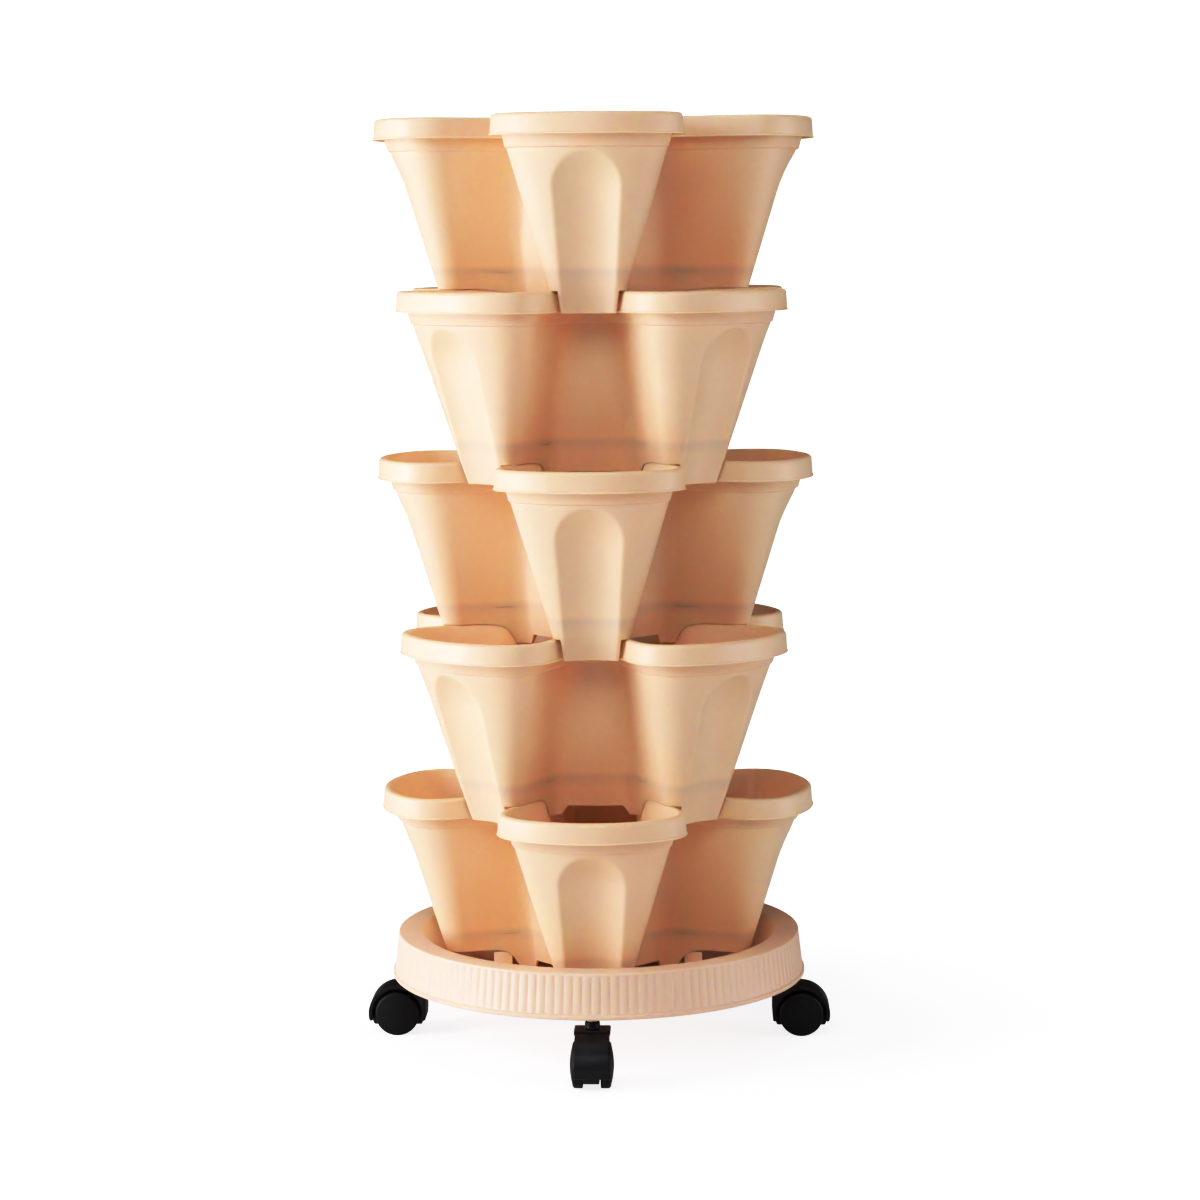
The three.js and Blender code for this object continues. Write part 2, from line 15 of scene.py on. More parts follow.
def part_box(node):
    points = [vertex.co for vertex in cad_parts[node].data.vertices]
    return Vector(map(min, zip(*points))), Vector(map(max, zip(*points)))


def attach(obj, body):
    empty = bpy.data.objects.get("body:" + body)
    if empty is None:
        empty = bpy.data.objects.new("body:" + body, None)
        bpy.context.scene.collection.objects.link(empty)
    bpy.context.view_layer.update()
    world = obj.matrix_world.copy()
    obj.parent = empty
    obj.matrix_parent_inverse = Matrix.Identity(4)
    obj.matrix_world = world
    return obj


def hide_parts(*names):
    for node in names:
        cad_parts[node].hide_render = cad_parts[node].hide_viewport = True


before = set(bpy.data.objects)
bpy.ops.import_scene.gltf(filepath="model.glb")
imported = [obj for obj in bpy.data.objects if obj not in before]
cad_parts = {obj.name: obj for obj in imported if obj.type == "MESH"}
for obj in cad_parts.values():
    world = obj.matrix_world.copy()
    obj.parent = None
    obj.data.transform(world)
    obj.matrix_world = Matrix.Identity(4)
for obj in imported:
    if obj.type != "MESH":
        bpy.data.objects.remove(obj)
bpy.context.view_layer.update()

MM = 0.001
# Corners closer than this are joined after a cut or a rounding
SLIVER = 0.03
LOBE_COUNT = 4
LOBE_TURN = 2 * math.pi / LOBE_COUNT
HALF_TURN = LOBE_TURN / 2
POTS = ("pot_1", "pot_2", "pot_3", "pot_4", "pot_5")
PLACES = ("right", "back", "left", "front")


# Pot sizes, as the part has them apart from the body's tips, which reach a little further, and finer edges


@dataclass(frozen=True)
class Lobe:
    """One lobe of a pot's outline, with the valley beside it.

    The tip and the valley are distances from the axis. Half is half the lobe's width, and flat is half
    the width of the valley's wall. The front, the corner and the fillet are radii.
    """

    tip: float
    front: float
    corner: float
    half: float
    fillet: float
    valley: float
    flat: float

    def grown(self, distance):
        """The same lobe with its outline moved outwards."""
        return Lobe(
            self.tip + distance,
            self.front + distance,
            self.corner + distance,
            self.half + distance,
            self.fillet - distance,
            self.valley + distance,
            self.flat,
        )

    def mixed(self, other, share):
        """An outline between this one and another."""
        pairs = zip(astuple(self), astuple(other))
        return Lobe(*((1 - share) * mine + share * theirs for mine, theirs in pairs))


RIM = Lobe(tip=173.5, front=105, corner=36, half=72.4, fillet=9.5, valley=73, flat=2)
SHOULDER = Lobe(tip=158.8, front=98, corner=26, half=60, fillet=21.5, valley=61, flat=3)
FOOT = Lobe(tip=121.2, front=60, corner=12, half=24.4, fillet=20, valley=49, flat=25)

POT_HEIGHT = 150.5
NEST_DEPTH = 17.3
BAND_DEPTH = 16.3
COLLAR_DEPTH = 25.3
SHOULDER_DEPTH = 28
WAIST_DEPTH = 62
FLOOR_TOP_DEPTH = 117.4
FLOOR_UNDER_DEPTH = 120
WALL = 2
LIP_WIDTH = 6.2
BAND_FLARE = 1.5
COLLAR_LEAN = 6.3
TIP_FLARE = 1.2
SLOT_CLEARANCE = 0.6
SLOT_ROOM = 2.6
ARCH_TOP_DEPTH = 28.5
ARCH_RADIUS = 26
ARCH_FOOT_HALF = 20
ARCH_SCOOP = 12
ARCH_SOFTNESS = 0.04
ARCH_MARGIN = 1.22
CUTOUT_TOP_HALF = 22
CUTOUT_FOOT_HALF = 27.5
CUTOUT_HEIGHT = 8
DRAIN_RADIUS = 4.5
DRAIN_PLACE = 81.3
OVERRUN = 5

LIP_ROUND_IN = 1.6
LIP_ROUND_OUT = 3
BEAD_HEIGHT = 1.5
BEAD_STEP = 0.8
EDGE_ROUND = 0.6
FLOOR_ROUND = 2.2
FLOOR_UNDER_ROUND = 1
LEDGE_SHARE = 0.8
COLLAR_ROOT = WALL - LIP_WIDTH
COLLAR_SLOPE = COLLAR_LEAN / COLLAR_DEPTH
DRAIN_SIDES = 24
POT_CREASE = 34

# Depths of the rings that shape the wall, and how far the rings of the floor reach
INSIDE_FOOT_DEPTHS = np.linspace(108, 60, 7)
INSIDE_ARCH_DEPTHS = np.linspace(57, 30, 13)
INSIDE_COLLAR_DEPTHS = (SHOULDER_DEPTH, 22, 15, 8, 3.5)
OUTSIDE_ARCH_DEPTHS = np.linspace(SHOULDER_DEPTH - 1, 57, 19)
OUTSIDE_FOOT_DEPTHS = np.linspace(64, POT_HEIGHT - EDGE_ROUND, 13)
UNDER_FLOOR_DEPTHS = (POT_HEIGHT - EDGE_ROUND, 141, 132, 124, FLOOR_UNDER_DEPTH + FLOOR_UNDER_ROUND)
FLOOR_SHARES = (0.1, 0.4, 0.7, 0.92)

# Points along half a lobe
FACE_POINTS = 20
CORNER_POINTS = 9
FLANK_POINTS = 3
FILLET_POINTS = 6
FLAT_POINTS = 1


# Outlines


def half_lobe(lobe, face_half):
    """Points from the middle of a lobe's face to the middle of the valley beside it."""
    front_centre = np.array([lobe.tip - lobe.front, 0.0])
    rise = lobe.half - lobe.corner
    reach = lobe.front - lobe.corner
    join = math.asin(rise / reach)
    corner_centre = front_centre + reach * np.array([math.cos(join), math.sin(join)])
    across = np.array([math.cos(HALF_TURN), math.sin(HALF_TURN)])
    along = np.array([across[1], -across[0]])
    fillet_centre = (lobe.valley + lobe.fillet) * across + lobe.flat * along
    between = fillet_centre - corner_centre
    distance = math.hypot(*between)
    heading = math.atan2(between[1], between[0]) % (2 * math.pi)
    flank = heading + math.asin((lobe.corner + lobe.fillet) / distance) - math.pi

    def arc(centre, radius, angle):
        return centre + radius * np.array([math.cos(angle), math.sin(angle)])

    def on_face(angle):
        if angle <= join:
            return arc(front_centre, lobe.front, angle)
        return arc(corner_centre, lobe.corner, angle)

    def angle_at(side):
        if side <= lobe.front * math.sin(join):
            return math.asin(side / lobe.front)
        return math.asin(min((side - rise) / lobe.corner, 1))

    def length_at(angle):
        return lobe.front * min(angle, join) + lobe.corner * max(angle - join, 0)

    def angle_after(length):
        on_front = lobe.front * join
        if length <= on_front:
            return length / lobe.front
        return join + (length - on_front) / lobe.corner

    points = [on_face(angle_at(side)) for side in np.linspace(0, face_half, FACE_POINTS + 1)]
    first = length_at(angle_at(face_half))
    last = length_at(flank + math.pi / 2)
    for length in np.linspace(first, last, CORNER_POINTS + 1)[1:]:
        points.append(on_face(angle_after(length)))
    fillet_start = flank - math.pi / 2
    fillet_end = HALF_TURN - math.pi
    flank_ends = points[-1], arc(fillet_centre, lobe.fillet, fillet_start)
    for share in np.linspace(0, 1, FLANK_POINTS + 1)[1:]:
        points.append((1 - share) * flank_ends[0] + share * flank_ends[1])
    for angle in np.linspace(fillet_start, fillet_end, FILLET_POINTS + 1)[1:]:
        points.append(arc(fillet_centre, lobe.fillet, angle))
    flat_start = points[-1]
    for share in np.linspace(0, 1, FLAT_POINTS + 1)[1:]:
        points.append((1 - share) * flat_start + share * lobe.valley * across)
    return np.array(points)


def arch_half(depth):
    """Half the width of the round-arched flute, which narrows below its arch."""
    centre = ARCH_TOP_DEPTH + ARCH_RADIUS
    below = max(depth - centre, 0) / (POT_HEIGHT - centre)
    return ARCH_RADIUS + (ARCH_FOOT_HALF - ARCH_RADIUS) * below


def scoop(side, depth):
    """How far the round-arched flute is pressed into a lobe's face, with soft edges."""
    half = arch_half(depth)
    above = min(depth - ARCH_TOP_DEPTH - ARCH_RADIUS, 0)
    inside = 1 - (side**2 + above**2) / half**2
    softened = (inside + np.sqrt(inside**2 + ARCH_SOFTNESS**2)) / 2
    return ARCH_SCOOP * (half / ARCH_RADIUS) * softened


def ring(lobe, depth, scooped=False, turn=0.0):
    """The closed outline of all lobes at one depth below the rim, as rows of x, y, z."""
    half = half_lobe(lobe, ARCH_MARGIN * arch_half(depth))
    mirrored = half[1:-1][::-1] * [1, -1]
    local = np.vstack([mirrored, half])
    if scooped:
        local[:, 0] -= scoop(local[:, 1], depth)
    turns = []
    for index in range(LOBE_COUNT):
        angle = index * LOBE_TURN + turn
        spin = np.array([[math.cos(angle), math.sin(angle)], [-math.sin(angle), math.cos(angle)]])
        turns.append(local @ spin)
    flat = np.vstack(turns)
    return np.column_stack([flat, np.full(len(flat), POT_HEIGHT - depth)])


def body_lobe(depth):
    """The body's outline, a little wider than a straight taper just below the shoulder."""
    down = (depth - SHOULDER_DEPTH) / (POT_HEIGHT - SHOULDER_DEPTH)
    lobe = SHOULDER.mixed(FOOT, down)
    flare = max(WAIST_DEPTH - depth, 0) / (WAIST_DEPTH - SHOULDER_DEPTH)
    return Lobe(lobe.tip + TIP_FLARE * flare**2, *astuple(lobe)[1:])


def body_ring(distance, depth):
    return ring(body_lobe(depth).grown(distance), depth, scooped=True)


def rim_ring(distance, depth):
    return ring(RIM.grown(distance), depth)


def at_height(points, height):
    """A ring of points, moved to another height."""
    moved = points.copy()
    moved[:, 2] = height
    return moved


def inner_ring(depth, turn=0.0, spare=0.0):
    """The pot's inside between the rim's lip and the shoulder."""
    lip = RIM.grown(-LIP_WIDTH)
    shoulder = SHOULDER.grown(-WALL)
    return ring(lip.mixed(shoulder, depth / SHOULDER_DEPTH).grown(-spare), depth, turn=turn)


# Meshes from rings of points


def linked(name, data):
    """A new object in the scene."""
    made = bpy.data.objects.new(name, data)
    bpy.context.scene.collection.objects.link(made)
    return made


def mesh_object(name, vertices, faces):
    mesh = bpy.data.meshes.new(name)
    mesh.from_pydata([tuple(MM * v for v in vertex) for vertex in vertices], [], faces)
    mesh.validate()
    return linked(name, mesh)


def lofted(name, rings, closed=False, capped=False):
    """A solid from rings of equal count. Capped ends meet in one point at the ring's middle."""
    count = len(rings[0])
    vertices = [tuple(point) for points in rings for point in points]
    faces = []
    spans = len(rings) if closed else len(rings) - 1
    for span in range(spans):
        here, there = span * count, ((span + 1) % len(rings)) * count
        for step in range(count):
            after = (step + 1) % count
            faces.append((here + step, here + after, there + after, there + step))
    if capped:
        for row, order in ((0, 1), (len(rings) - 1, -1)):
            middle = len(vertices)
            vertices.append(tuple(np.mean(rings[row], axis=0)))
            start = row * count
            for step in range(count):
                corners = (start + step, middle, start + (step + 1) % count)
                faces.append(corners[::order])
    made = mesh_object(name, vertices, faces)
    outward(made)
    return made


def outward(piece):
    """Turns every face outwards."""
    shape = bmesh.new()
    shape.from_mesh(piece.data)
    bmesh.ops.recalc_face_normals(shape, faces=shape.faces)
    shape.to_mesh(piece.data)
    shape.free()


def welded(piece):
    """Closes the slivers that cutting and rounding leave."""
    shape = bmesh.new()
    shape.from_mesh(piece.data)
    bmesh.ops.remove_doubles(shape, verts=shape.verts, dist=SLIVER * MM)
    bmesh.ops.dissolve_degenerate(shape, edges=shape.edges, dist=SLIVER * MM)
    shape.to_mesh(piece.data)
    shape.free()


def carve(piece, tool, operation="DIFFERENCE"):
    """Cuts a tool out of a piece, or keeps what both hold, and removes the tool."""
    cutter = piece.modifiers.new("carve", "BOOLEAN")
    cutter.operation = operation
    cutter.solver = "EXACT"
    cutter.object = tool
    apply_modifiers(piece)
    welded(piece)
    bpy.data.objects.remove(tool)


def apply_modifiers(piece):
    """Writes what the modifiers make into the piece's mesh."""
    bpy.context.view_layer.update()
    graph = bpy.context.evaluated_depsgraph_get()
    final = bpy.data.meshes.new_from_object(piece.evaluated_get(graph))
    piece.modifiers.clear()
    piece.data = final


def smooth(piece, angle):
    """Smooth shading with creases at edges sharper than an angle in degrees."""
    piece.data.shade_smooth()
    piece.data.set_sharp_from_angle(angle=math.radians(angle))


def rounded(piece, width, segments, angle=35):
    """Rounds a piece's sharp edges."""
    edge = piece.modifiers.new("round", "BEVEL")
    edge.width = width * MM
    edge.segments = segments
    edge.limit_method = "ANGLE"
    edge.angle_limit = math.radians(angle)
    edge.use_clamp_overlap = True
    apply_modifiers(piece)
    welded(piece)


def merged(name, pieces):
    """One object out of several."""
    shape = bmesh.new()
    for piece in pieces:
        shape.from_mesh(piece.data)
        bpy.data.objects.remove(piece)
    mesh = bpy.data.meshes.new(name)
    shape.to_mesh(mesh)
    shape.free()
    return linked(name, mesh)


def turned_profile(name, profile, sides, axis="Z"):
    """A solid of revolution from (radius, height) points that end on the axis or where they began."""
    closed = profile[0] == profile[-1]
    vertices, rows = [], []
    for radius, height in profile[:-1] if closed else profile:
        count = sides if radius > 0 else 1
        rows.append([len(vertices) + step % count for step in range(sides)])
        for step in range(count):
            angle = step * 2 * math.pi / sides
            across, along = radius * math.cos(angle), radius * math.sin(angle)
            vertices.append((across, along, height) if axis == "Z" else (across, height, -along))
    faces = []
    following = rows[1:] + rows[:1] if closed else rows[1:]
    for here, there in zip(rows, following):
        for step in range(sides):
            after = (step + 1) % sides
            corners = (here[step], here[after], there[after], there[step])
            faces.append(tuple(dict.fromkeys(corners)))
    made = mesh_object(name, vertices, faces)
    outward(made)
    return made


def prism(name, outline, low, high):
    """A flat outline in the XZ plane given a thickness along Y."""
    count = len(outline)
    vertices = [(x, low, z) for x, z in outline] + [(x, high, z) for x, z in outline]
    faces = [tuple(range(count)), tuple(range(2 * count - 1, count - 1, -1))]
    for step in range(count):
        after = (step + 1) % count
        faces.append((step, count + step, count + after, after))
    made = mesh_object(name, vertices, faces)
    outward(made)
    return made


def place(piece, turn=0.0, at=(0, 0, 0)):
    """Turns a piece about Z, moves it, and writes both into its mesh."""
    shift = Matrix.Translation([MM * value for value in at])
    piece.data.transform(shift @ Matrix.Rotation(turn, 4, "Z"))
    return piece


# Pot


def inward_cap(ring_points, shares):
    """Smaller copies of a ring towards its middle."""
    middle = np.array([0, 0, ring_points[0][2]])
    return [middle + share * (ring_points - middle) for share in shares]


def arc_steps(count):
    """Angles of a quarter turn in equal steps."""
    return np.linspace(0, math.pi / 2, count + 1)


def inside_rings():
    """From the middle of the floor plate up the inside of the wall to the lip."""
    rings = inward_cap(body_ring(-WALL - FLOOR_ROUND, FLOOR_TOP_DEPTH), FLOOR_SHARES)
    for angle in arc_steps(3):
        distance = -WALL - FLOOR_ROUND * (1 - math.sin(angle))
        rings.append(body_ring(distance, FLOOR_TOP_DEPTH - FLOOR_ROUND * (1 - math.cos(angle))))
    for depth in (*INSIDE_FOOT_DEPTHS, *INSIDE_ARCH_DEPTHS):
        rings.append(body_ring(-WALL, depth))
    for depth in INSIDE_COLLAR_DEPTHS:
        rings.append(inner_ring(depth))
    return rings


def lip_rings():
    """Over the rounded lip."""
    rings = []
    for angle in arc_steps(3):
        away = -LIP_WIDTH + LIP_ROUND_IN * (1 - math.cos(angle))
        rings.append(rim_ring(away, LIP_ROUND_IN * (1 - math.sin(angle))))
    for angle in arc_steps(5):
        away = -LIP_ROUND_OUT * (1 - math.sin(angle))
        rings.append(rim_ring(away, LIP_ROUND_OUT * (1 - math.cos(angle))))
    return rings


def band_rings():
    """Down the hanging band to the bead on its edge, and up behind it."""
    bead_top = BAND_DEPTH - BEAD_HEIGHT
    return [
        rim_ring((BAND_FLARE - BEAD_STEP) / 2, (LIP_ROUND_OUT + bead_top) / 2),
        rim_ring(BAND_FLARE - BEAD_STEP, bead_top),
        rim_ring(BAND_FLARE - BEAD_STEP / 4, bead_top + BEAD_HEIGHT / 4),
        rim_ring(BAND_FLARE, BAND_DEPTH - BEAD_HEIGHT / 3),
        rim_ring(BAND_FLARE - BEAD_STEP / 4, BAND_DEPTH),
        rim_ring(BAND_FLARE - WALL, BAND_DEPTH),
        rim_ring(BAND_FLARE - WALL - EDGE_ROUND, BAND_DEPTH - EDGE_ROUND),
        rim_ring(COLLAR_ROOT + WALL - COLLAR_SLOPE * WALL, WALL + EDGE_ROUND),
        rim_ring(COLLAR_ROOT + WALL / 2, WALL),
    ]


def collar_rings():
    """Down the collar behind the band to the ledge above the shoulder."""
    ledge = RIM.grown(COLLAR_ROOT - COLLAR_LEAN).mixed(body_lobe(SHOULDER_DEPTH), LEDGE_SHARE)
    return [
        rim_ring(COLLAR_ROOT, WALL + EDGE_ROUND),
        rim_ring(COLLAR_ROOT - COLLAR_SLOPE * BAND_DEPTH, BAND_DEPTH),
        rim_ring(COLLAR_ROOT - COLLAR_SLOPE * COLLAR_DEPTH, COLLAR_DEPTH - EDGE_ROUND),
        rim_ring(COLLAR_ROOT - COLLAR_LEAN - EDGE_ROUND / 2, COLLAR_DEPTH - EDGE_ROUND / 4),
        ring(ledge, COLLAR_DEPTH + EDGE_ROUND),
    ]


def outside_rings():
    """Down the outside of the body, and up inside the foot to the floor plate's middle."""
    rings = [body_ring(0, depth) for depth in (*OUTSIDE_ARCH_DEPTHS, *OUTSIDE_FOOT_DEPTHS)]
    rings.append(body_ring(-EDGE_ROUND, POT_HEIGHT))
    rings.append(body_ring(EDGE_ROUND - WALL, POT_HEIGHT))
    for depth in UNDER_FLOOR_DEPTHS:
        rings.append(body_ring(-WALL, depth))
    under_ring = body_ring(-WALL - FLOOR_UNDER_ROUND, FLOOR_UNDER_DEPTH)
    rings.append(under_ring)
    rings += inward_cap(under_ring, FLOOR_SHARES[::-1])
    return rings


def slot_tool():
    """The rim of the pot below as a ring round the foot, with room to spare on both sides."""
    low, high = POT_HEIGHT + OVERRUN, POT_HEIGHT - NEST_DEPTH

    def outer(depth):
        return ring(RIM.grown(BAND_FLARE + SLOT_ROOM), depth, turn=HALF_TURN)

    def inner(depth):
        points = inner_ring(depth - high, turn=HALF_TURN, spare=SLOT_CLEARANCE)
        return at_height(points, POT_HEIGHT - depth)

    return lofted("slot_tool", [outer(high), outer(low), inner(low), inner(high)], closed=True)


def cutout_tool(turn):
    """The trapezoid opening at the bottom of a valley wall."""
    outline = [
        (-CUTOUT_FOOT_HALF, -OVERRUN),
        (CUTOUT_FOOT_HALF, -OVERRUN),
        (CUTOUT_FOOT_HALF, 0),
        (CUTOUT_TOP_HALF, CUTOUT_HEIGHT),
        (-CUTOUT_TOP_HALF, CUTOUT_HEIGHT),
        (-CUTOUT_FOOT_HALF, 0),
    ]
    near, far = FOOT.valley - WALL - OVERRUN, FOOT.valley + OVERRUN
    tool = prism("cutout_tool", outline, -far, -near)
    return place(tool, turn)


def drain_tool(turn):
    """A hole through the floor plate under one lobe."""
    bottom = POT_HEIGHT - FLOOR_UNDER_DEPTH - OVERRUN
    top = POT_HEIGHT - FLOOR_TOP_DEPTH + OVERRUN
    profile = [(0, bottom), (DRAIN_RADIUS, bottom), (DRAIN_RADIUS, top), (0, top)]
    tool = turned_profile("drain_tool", profile, DRAIN_SIDES)
    place(tool, at=(DRAIN_PLACE, 0, 0))
    return place(tool, turn)


def pot_mesh():
    """The pot's surface as one loft, with its slots, cut-outs and drain holes cut out."""
    rings = inside_rings() + lip_rings() + band_rings() + collar_rings() + outside_rings()
    pot = lofted("pot_master", rings, capped=True)
    tools = [slot_tool()]
    for index in range(LOBE_COUNT):
        tools.append(cutout_tool(HALF_TURN + index * LOBE_TURN))
        tools.append(drain_tool(index * LOBE_TURN))
    for tool in tools:
        carve(pot, tool)
    smooth(pot, POT_CREASE)
    mesh = pot.data
    bpy.data.objects.remove(pot)
    return mesh


def pots(finish):
    """Every second pot is turned by half a lobe."""
    straight = pot_mesh()
    straight.materials.clear()
    straight.materials.append(finish)
    turned = straight.copy()
    turned.transform(Matrix.Rotation(HALF_TURN, 4, "Z"))
    for index, node in enumerate(POTS):
        low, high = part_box(node)
        shell = linked(f"{node}_shell", (straight, turned)[index % 2])
        shell.location = ((low.x + high.x) / 2, (low.y + high.y) / 2, low.z)
        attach(shell, node)
        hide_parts(node)


# Tray

TRAY_HEIGHT = 35.4
TRAY_FLOOR = 3
TRAY_WALL = 2
TRAY_FLOOR_RADIUS = 122.6
TRAY_OPENING = 143.6
TRAY_TOP_RADIUS = 162.8
TRAY_BASE_RADIUS = 166.4
TRAY_EDGE = 1.3
TRAY_SHARES = (0.15, 0.6, 0.94)
TRAY_CREASE = 32
TRAY_LIP_RADIUS = 167.7
TRAY_LIP_HEIGHT = 3.6
TRAY_LIP_EDGE = 0.6
TRAY_LIP_STEP = 0.25
WELL_SLOPE = (TRAY_OPENING - TRAY_FLOOR_RADIUS) / (TRAY_HEIGHT - TRAY_FLOOR)
WELL_FLOOR_EDGE = 1.5
WELL_CURVE = ((0.4, 1.2), (3.5, 3.5))
WELL_MIDDLE = 14
WELL_TOP_ROUND = 0.1
UNDER_EDGE = 0.5
UNDER_RISE = 0.8
FLUTE_COUNT = 144
FLUTE_SAMPLES = 8
FLUTE_DEPTH = 0.6
FLUTE_FADE = 0.8
FLUTE_END_SHARE = 0.6
FLUTE_FOOT = 0.9
LUG_SHORTFALL = 1.8
LUG_START = 70
LUG_END = 84.5
LUG_SIDE = 4
LUG_CLIP_LOW = -1
STEM_CIRCLE = 149
BOSS_RADIUS = 4.9
BOSS_DROP = 4.7
BOSS_SIDES = 32
STEM_RADIUS = 3.2
GAP = 0.3
STEM_TIP_GAP = 8
RIB_BOTTOM = 8
RIB_THICKNESS = 2
RIB_SHORTFALL = 3


def tray_ring(radius, height, flute=0.0):
    """A circle, or a row of convex ribs that meet in shallow grooves."""
    count = FLUTE_COUNT * FLUTE_SAMPLES
    angles = np.arange(count) * 2 * math.pi / count
    across = 2 * (np.arange(count) % FLUTE_SAMPLES) / FLUTE_SAMPLES - 1
    radii = radius - flute * across**2
    return np.column_stack(
        [radii * np.cos(angles), radii * np.sin(angles), np.full(count, float(height))]
    )


def well_rings():
    """From the middle of the floor up the sloping well to the shelf."""
    rings = [tray_ring(share * TRAY_FLOOR_RADIUS, TRAY_FLOOR) for share in TRAY_SHARES]
    rings.append(tray_ring(TRAY_FLOOR_RADIUS - WELL_FLOOR_EDGE, TRAY_FLOOR))
    for lean, rise in WELL_CURVE:
        rings.append(tray_ring(TRAY_FLOOR_RADIUS + lean * WELL_SLOPE, TRAY_FLOOR + rise))
    below_edge = TRAY_OPENING - WELL_SLOPE * TRAY_EDGE - WELL_TOP_ROUND
    rings += [
        tray_ring(TRAY_OPENING - WELL_SLOPE * WELL_MIDDLE, TRAY_HEIGHT - WELL_MIDDLE),
        tray_ring(below_edge, TRAY_HEIGHT - TRAY_EDGE),
        tray_ring(TRAY_OPENING, TRAY_HEIGHT - TRAY_EDGE / 4),
        tray_ring(TRAY_OPENING + TRAY_EDGE, TRAY_HEIGHT),
    ]
    return rings


def fluted_rings():
    """From the shelf's outer edge down the fluted wall to the bottom of the base lip."""
    top, lip, edge = TRAY_HEIGHT, TRAY_LIP_HEIGHT, TRAY_EDGE
    outer_slope = (TRAY_BASE_RADIUS - TRAY_TOP_RADIUS) / (top - lip)

    def wall_radius(height):
        return TRAY_TOP_RADIUS + outer_slope * (top - height)

    rings = [tray_ring(TRAY_TOP_RADIUS - edge, top)]
    for angle in arc_steps(3)[1:]:
        radius = wall_radius(top - edge) - edge * (1 - math.sin(angle))
        rings.append(tray_ring(radius, top - edge * (1 - math.cos(angle))))
    flute_top = top - edge - FLUTE_FADE
    flute_bottom = lip + FLUTE_FOOT
    flutes = (
        (flute_top, FLUTE_DEPTH * FLUTE_END_SHARE),
        (flute_top - FLUTE_FADE, FLUTE_DEPTH),
        ((flute_top + flute_bottom) / 2, FLUTE_DEPTH),
        (flute_bottom + FLUTE_FADE, FLUTE_DEPTH),
        (flute_bottom, FLUTE_DEPTH * FLUTE_END_SHARE),
    )
    rings += [tray_ring(wall_radius(height), height, depth) for height, depth in flutes]
    rings += [
        tray_ring(TRAY_BASE_RADIUS, lip + TRAY_LIP_STEP),
        tray_ring(TRAY_LIP_RADIUS - TRAY_LIP_EDGE, lip),
        tray_ring(TRAY_LIP_RADIUS, lip - TRAY_LIP_EDGE),
        tray_ring(TRAY_LIP_RADIUS, TRAY_LIP_EDGE),
        tray_ring(TRAY_LIP_RADIUS - TRAY_LIP_EDGE, 0),
    ]
    return rings


def underside_rings():
    """Up inside the wall, across under the shelf, down the well and to the middle of the floor."""
    under_shelf = TRAY_HEIGHT - TRAY_WALL
    rings = [
        tray_ring(TRAY_BASE_RADIUS - TRAY_WALL, 0),
        tray_ring(TRAY_TOP_RADIUS - TRAY_WALL, under_shelf),
        tray_ring(TRAY_OPENING + TRAY_WALL - WELL_SLOPE * TRAY_WALL, under_shelf),
        tray_ring(TRAY_FLOOR_RADIUS + UNDER_EDGE, UNDER_RISE),
        tray_ring(TRAY_FLOOR_RADIUS - UNDER_EDGE, 0),
    ]
    rings += [tray_ring(share * TRAY_FLOOR_RADIUS, 0) for share in TRAY_SHARES[::-1]]
    return rings


def lug_pieces():
    """Short stretches of rim that fill the inner ends of the lowest pot's slots."""
    top = NEST_DEPTH - LUG_SHORTFALL
    sunk = -TRAY_FLOOR / 2
    outline = [
        (LUG_START, LUG_CLIP_LOW),
        (LUG_END, LUG_CLIP_LOW),
        (LUG_END, TRAY_HEIGHT),
        (LUG_START, TRAY_HEIGHT),
    ]

    def inner(height):
        return at_height(inner_ring(NEST_DEPTH - height, turn=HALF_TURN), height + TRAY_FLOOR)

    def outer(height):
        return at_height(ring(RIM, 0, turn=HALF_TURN), height + TRAY_FLOOR)

    lugs = []
    for index in range(LOBE_COUNT):
        for side in (-1, 1):
            low, high = sorted([LUG_SIDE * side, FOOT.half * side])
            lug = lofted("lug", [outer(top), outer(sunk), inner(sunk), inner(top)], closed=True)
            clip = prism("lug_clip", outline, low, high)
            place(clip, index * LOBE_TURN)
            carve(lug, clip, "INTERSECT")
            rounded(lug, EDGE_ROUND, segments=2)
            lugs.append(lug)
    return lugs


def boss_pieces(turn):
    """Round boss for a castor's stem, open below, and the ribs on both sides of it."""
    top = TRAY_HEIGHT - TRAY_WALL / 2
    bore = STEM_RADIUS + GAP
    bore_top = TRAY_HEIGHT - STEM_TIP_GAP
    profile = [
        (0, top),
        (BOSS_RADIUS, top),
        (BOSS_RADIUS, -BOSS_DROP + EDGE_ROUND),
        (BOSS_RADIUS - EDGE_ROUND, -BOSS_DROP),
        (bore, -BOSS_DROP),
        (bore, bore_top),
        (0, bore_top),
    ]
    boss = turned_profile("boss", profile, BOSS_SIDES)
    place(boss, at=(STEM_CIRCLE, 0, 0))
    share = (RIB_BOTTOM - TRAY_FLOOR) / (TRAY_HEIGHT - TRAY_FLOOR)
    inner = TRAY_FLOOR_RADIUS + (TRAY_OPENING - TRAY_FLOOR_RADIUS) * share + TRAY_WALL / 2
    outer = TRAY_BASE_RADIUS - RIB_SHORTFALL
    near, far = STEM_CIRCLE - BOSS_RADIUS + EDGE_ROUND, STEM_CIRCLE + BOSS_RADIUS - EDGE_ROUND
    outlines = (
        [(inner, RIB_BOTTOM), (near, RIB_BOTTOM), (near, top), (TRAY_OPENING + TRAY_WALL / 2, top)],
        [(far, RIB_BOTTOM), (outer, RIB_BOTTOM), (TRAY_TOP_RADIUS - TRAY_WALL, top), (far, top)],
    )
    ribs = [prism("rib", outline, -RIB_THICKNESS / 2, RIB_THICKNESS / 2) for outline in outlines]
    return [place(piece, turn) for piece in (boss, *ribs)]


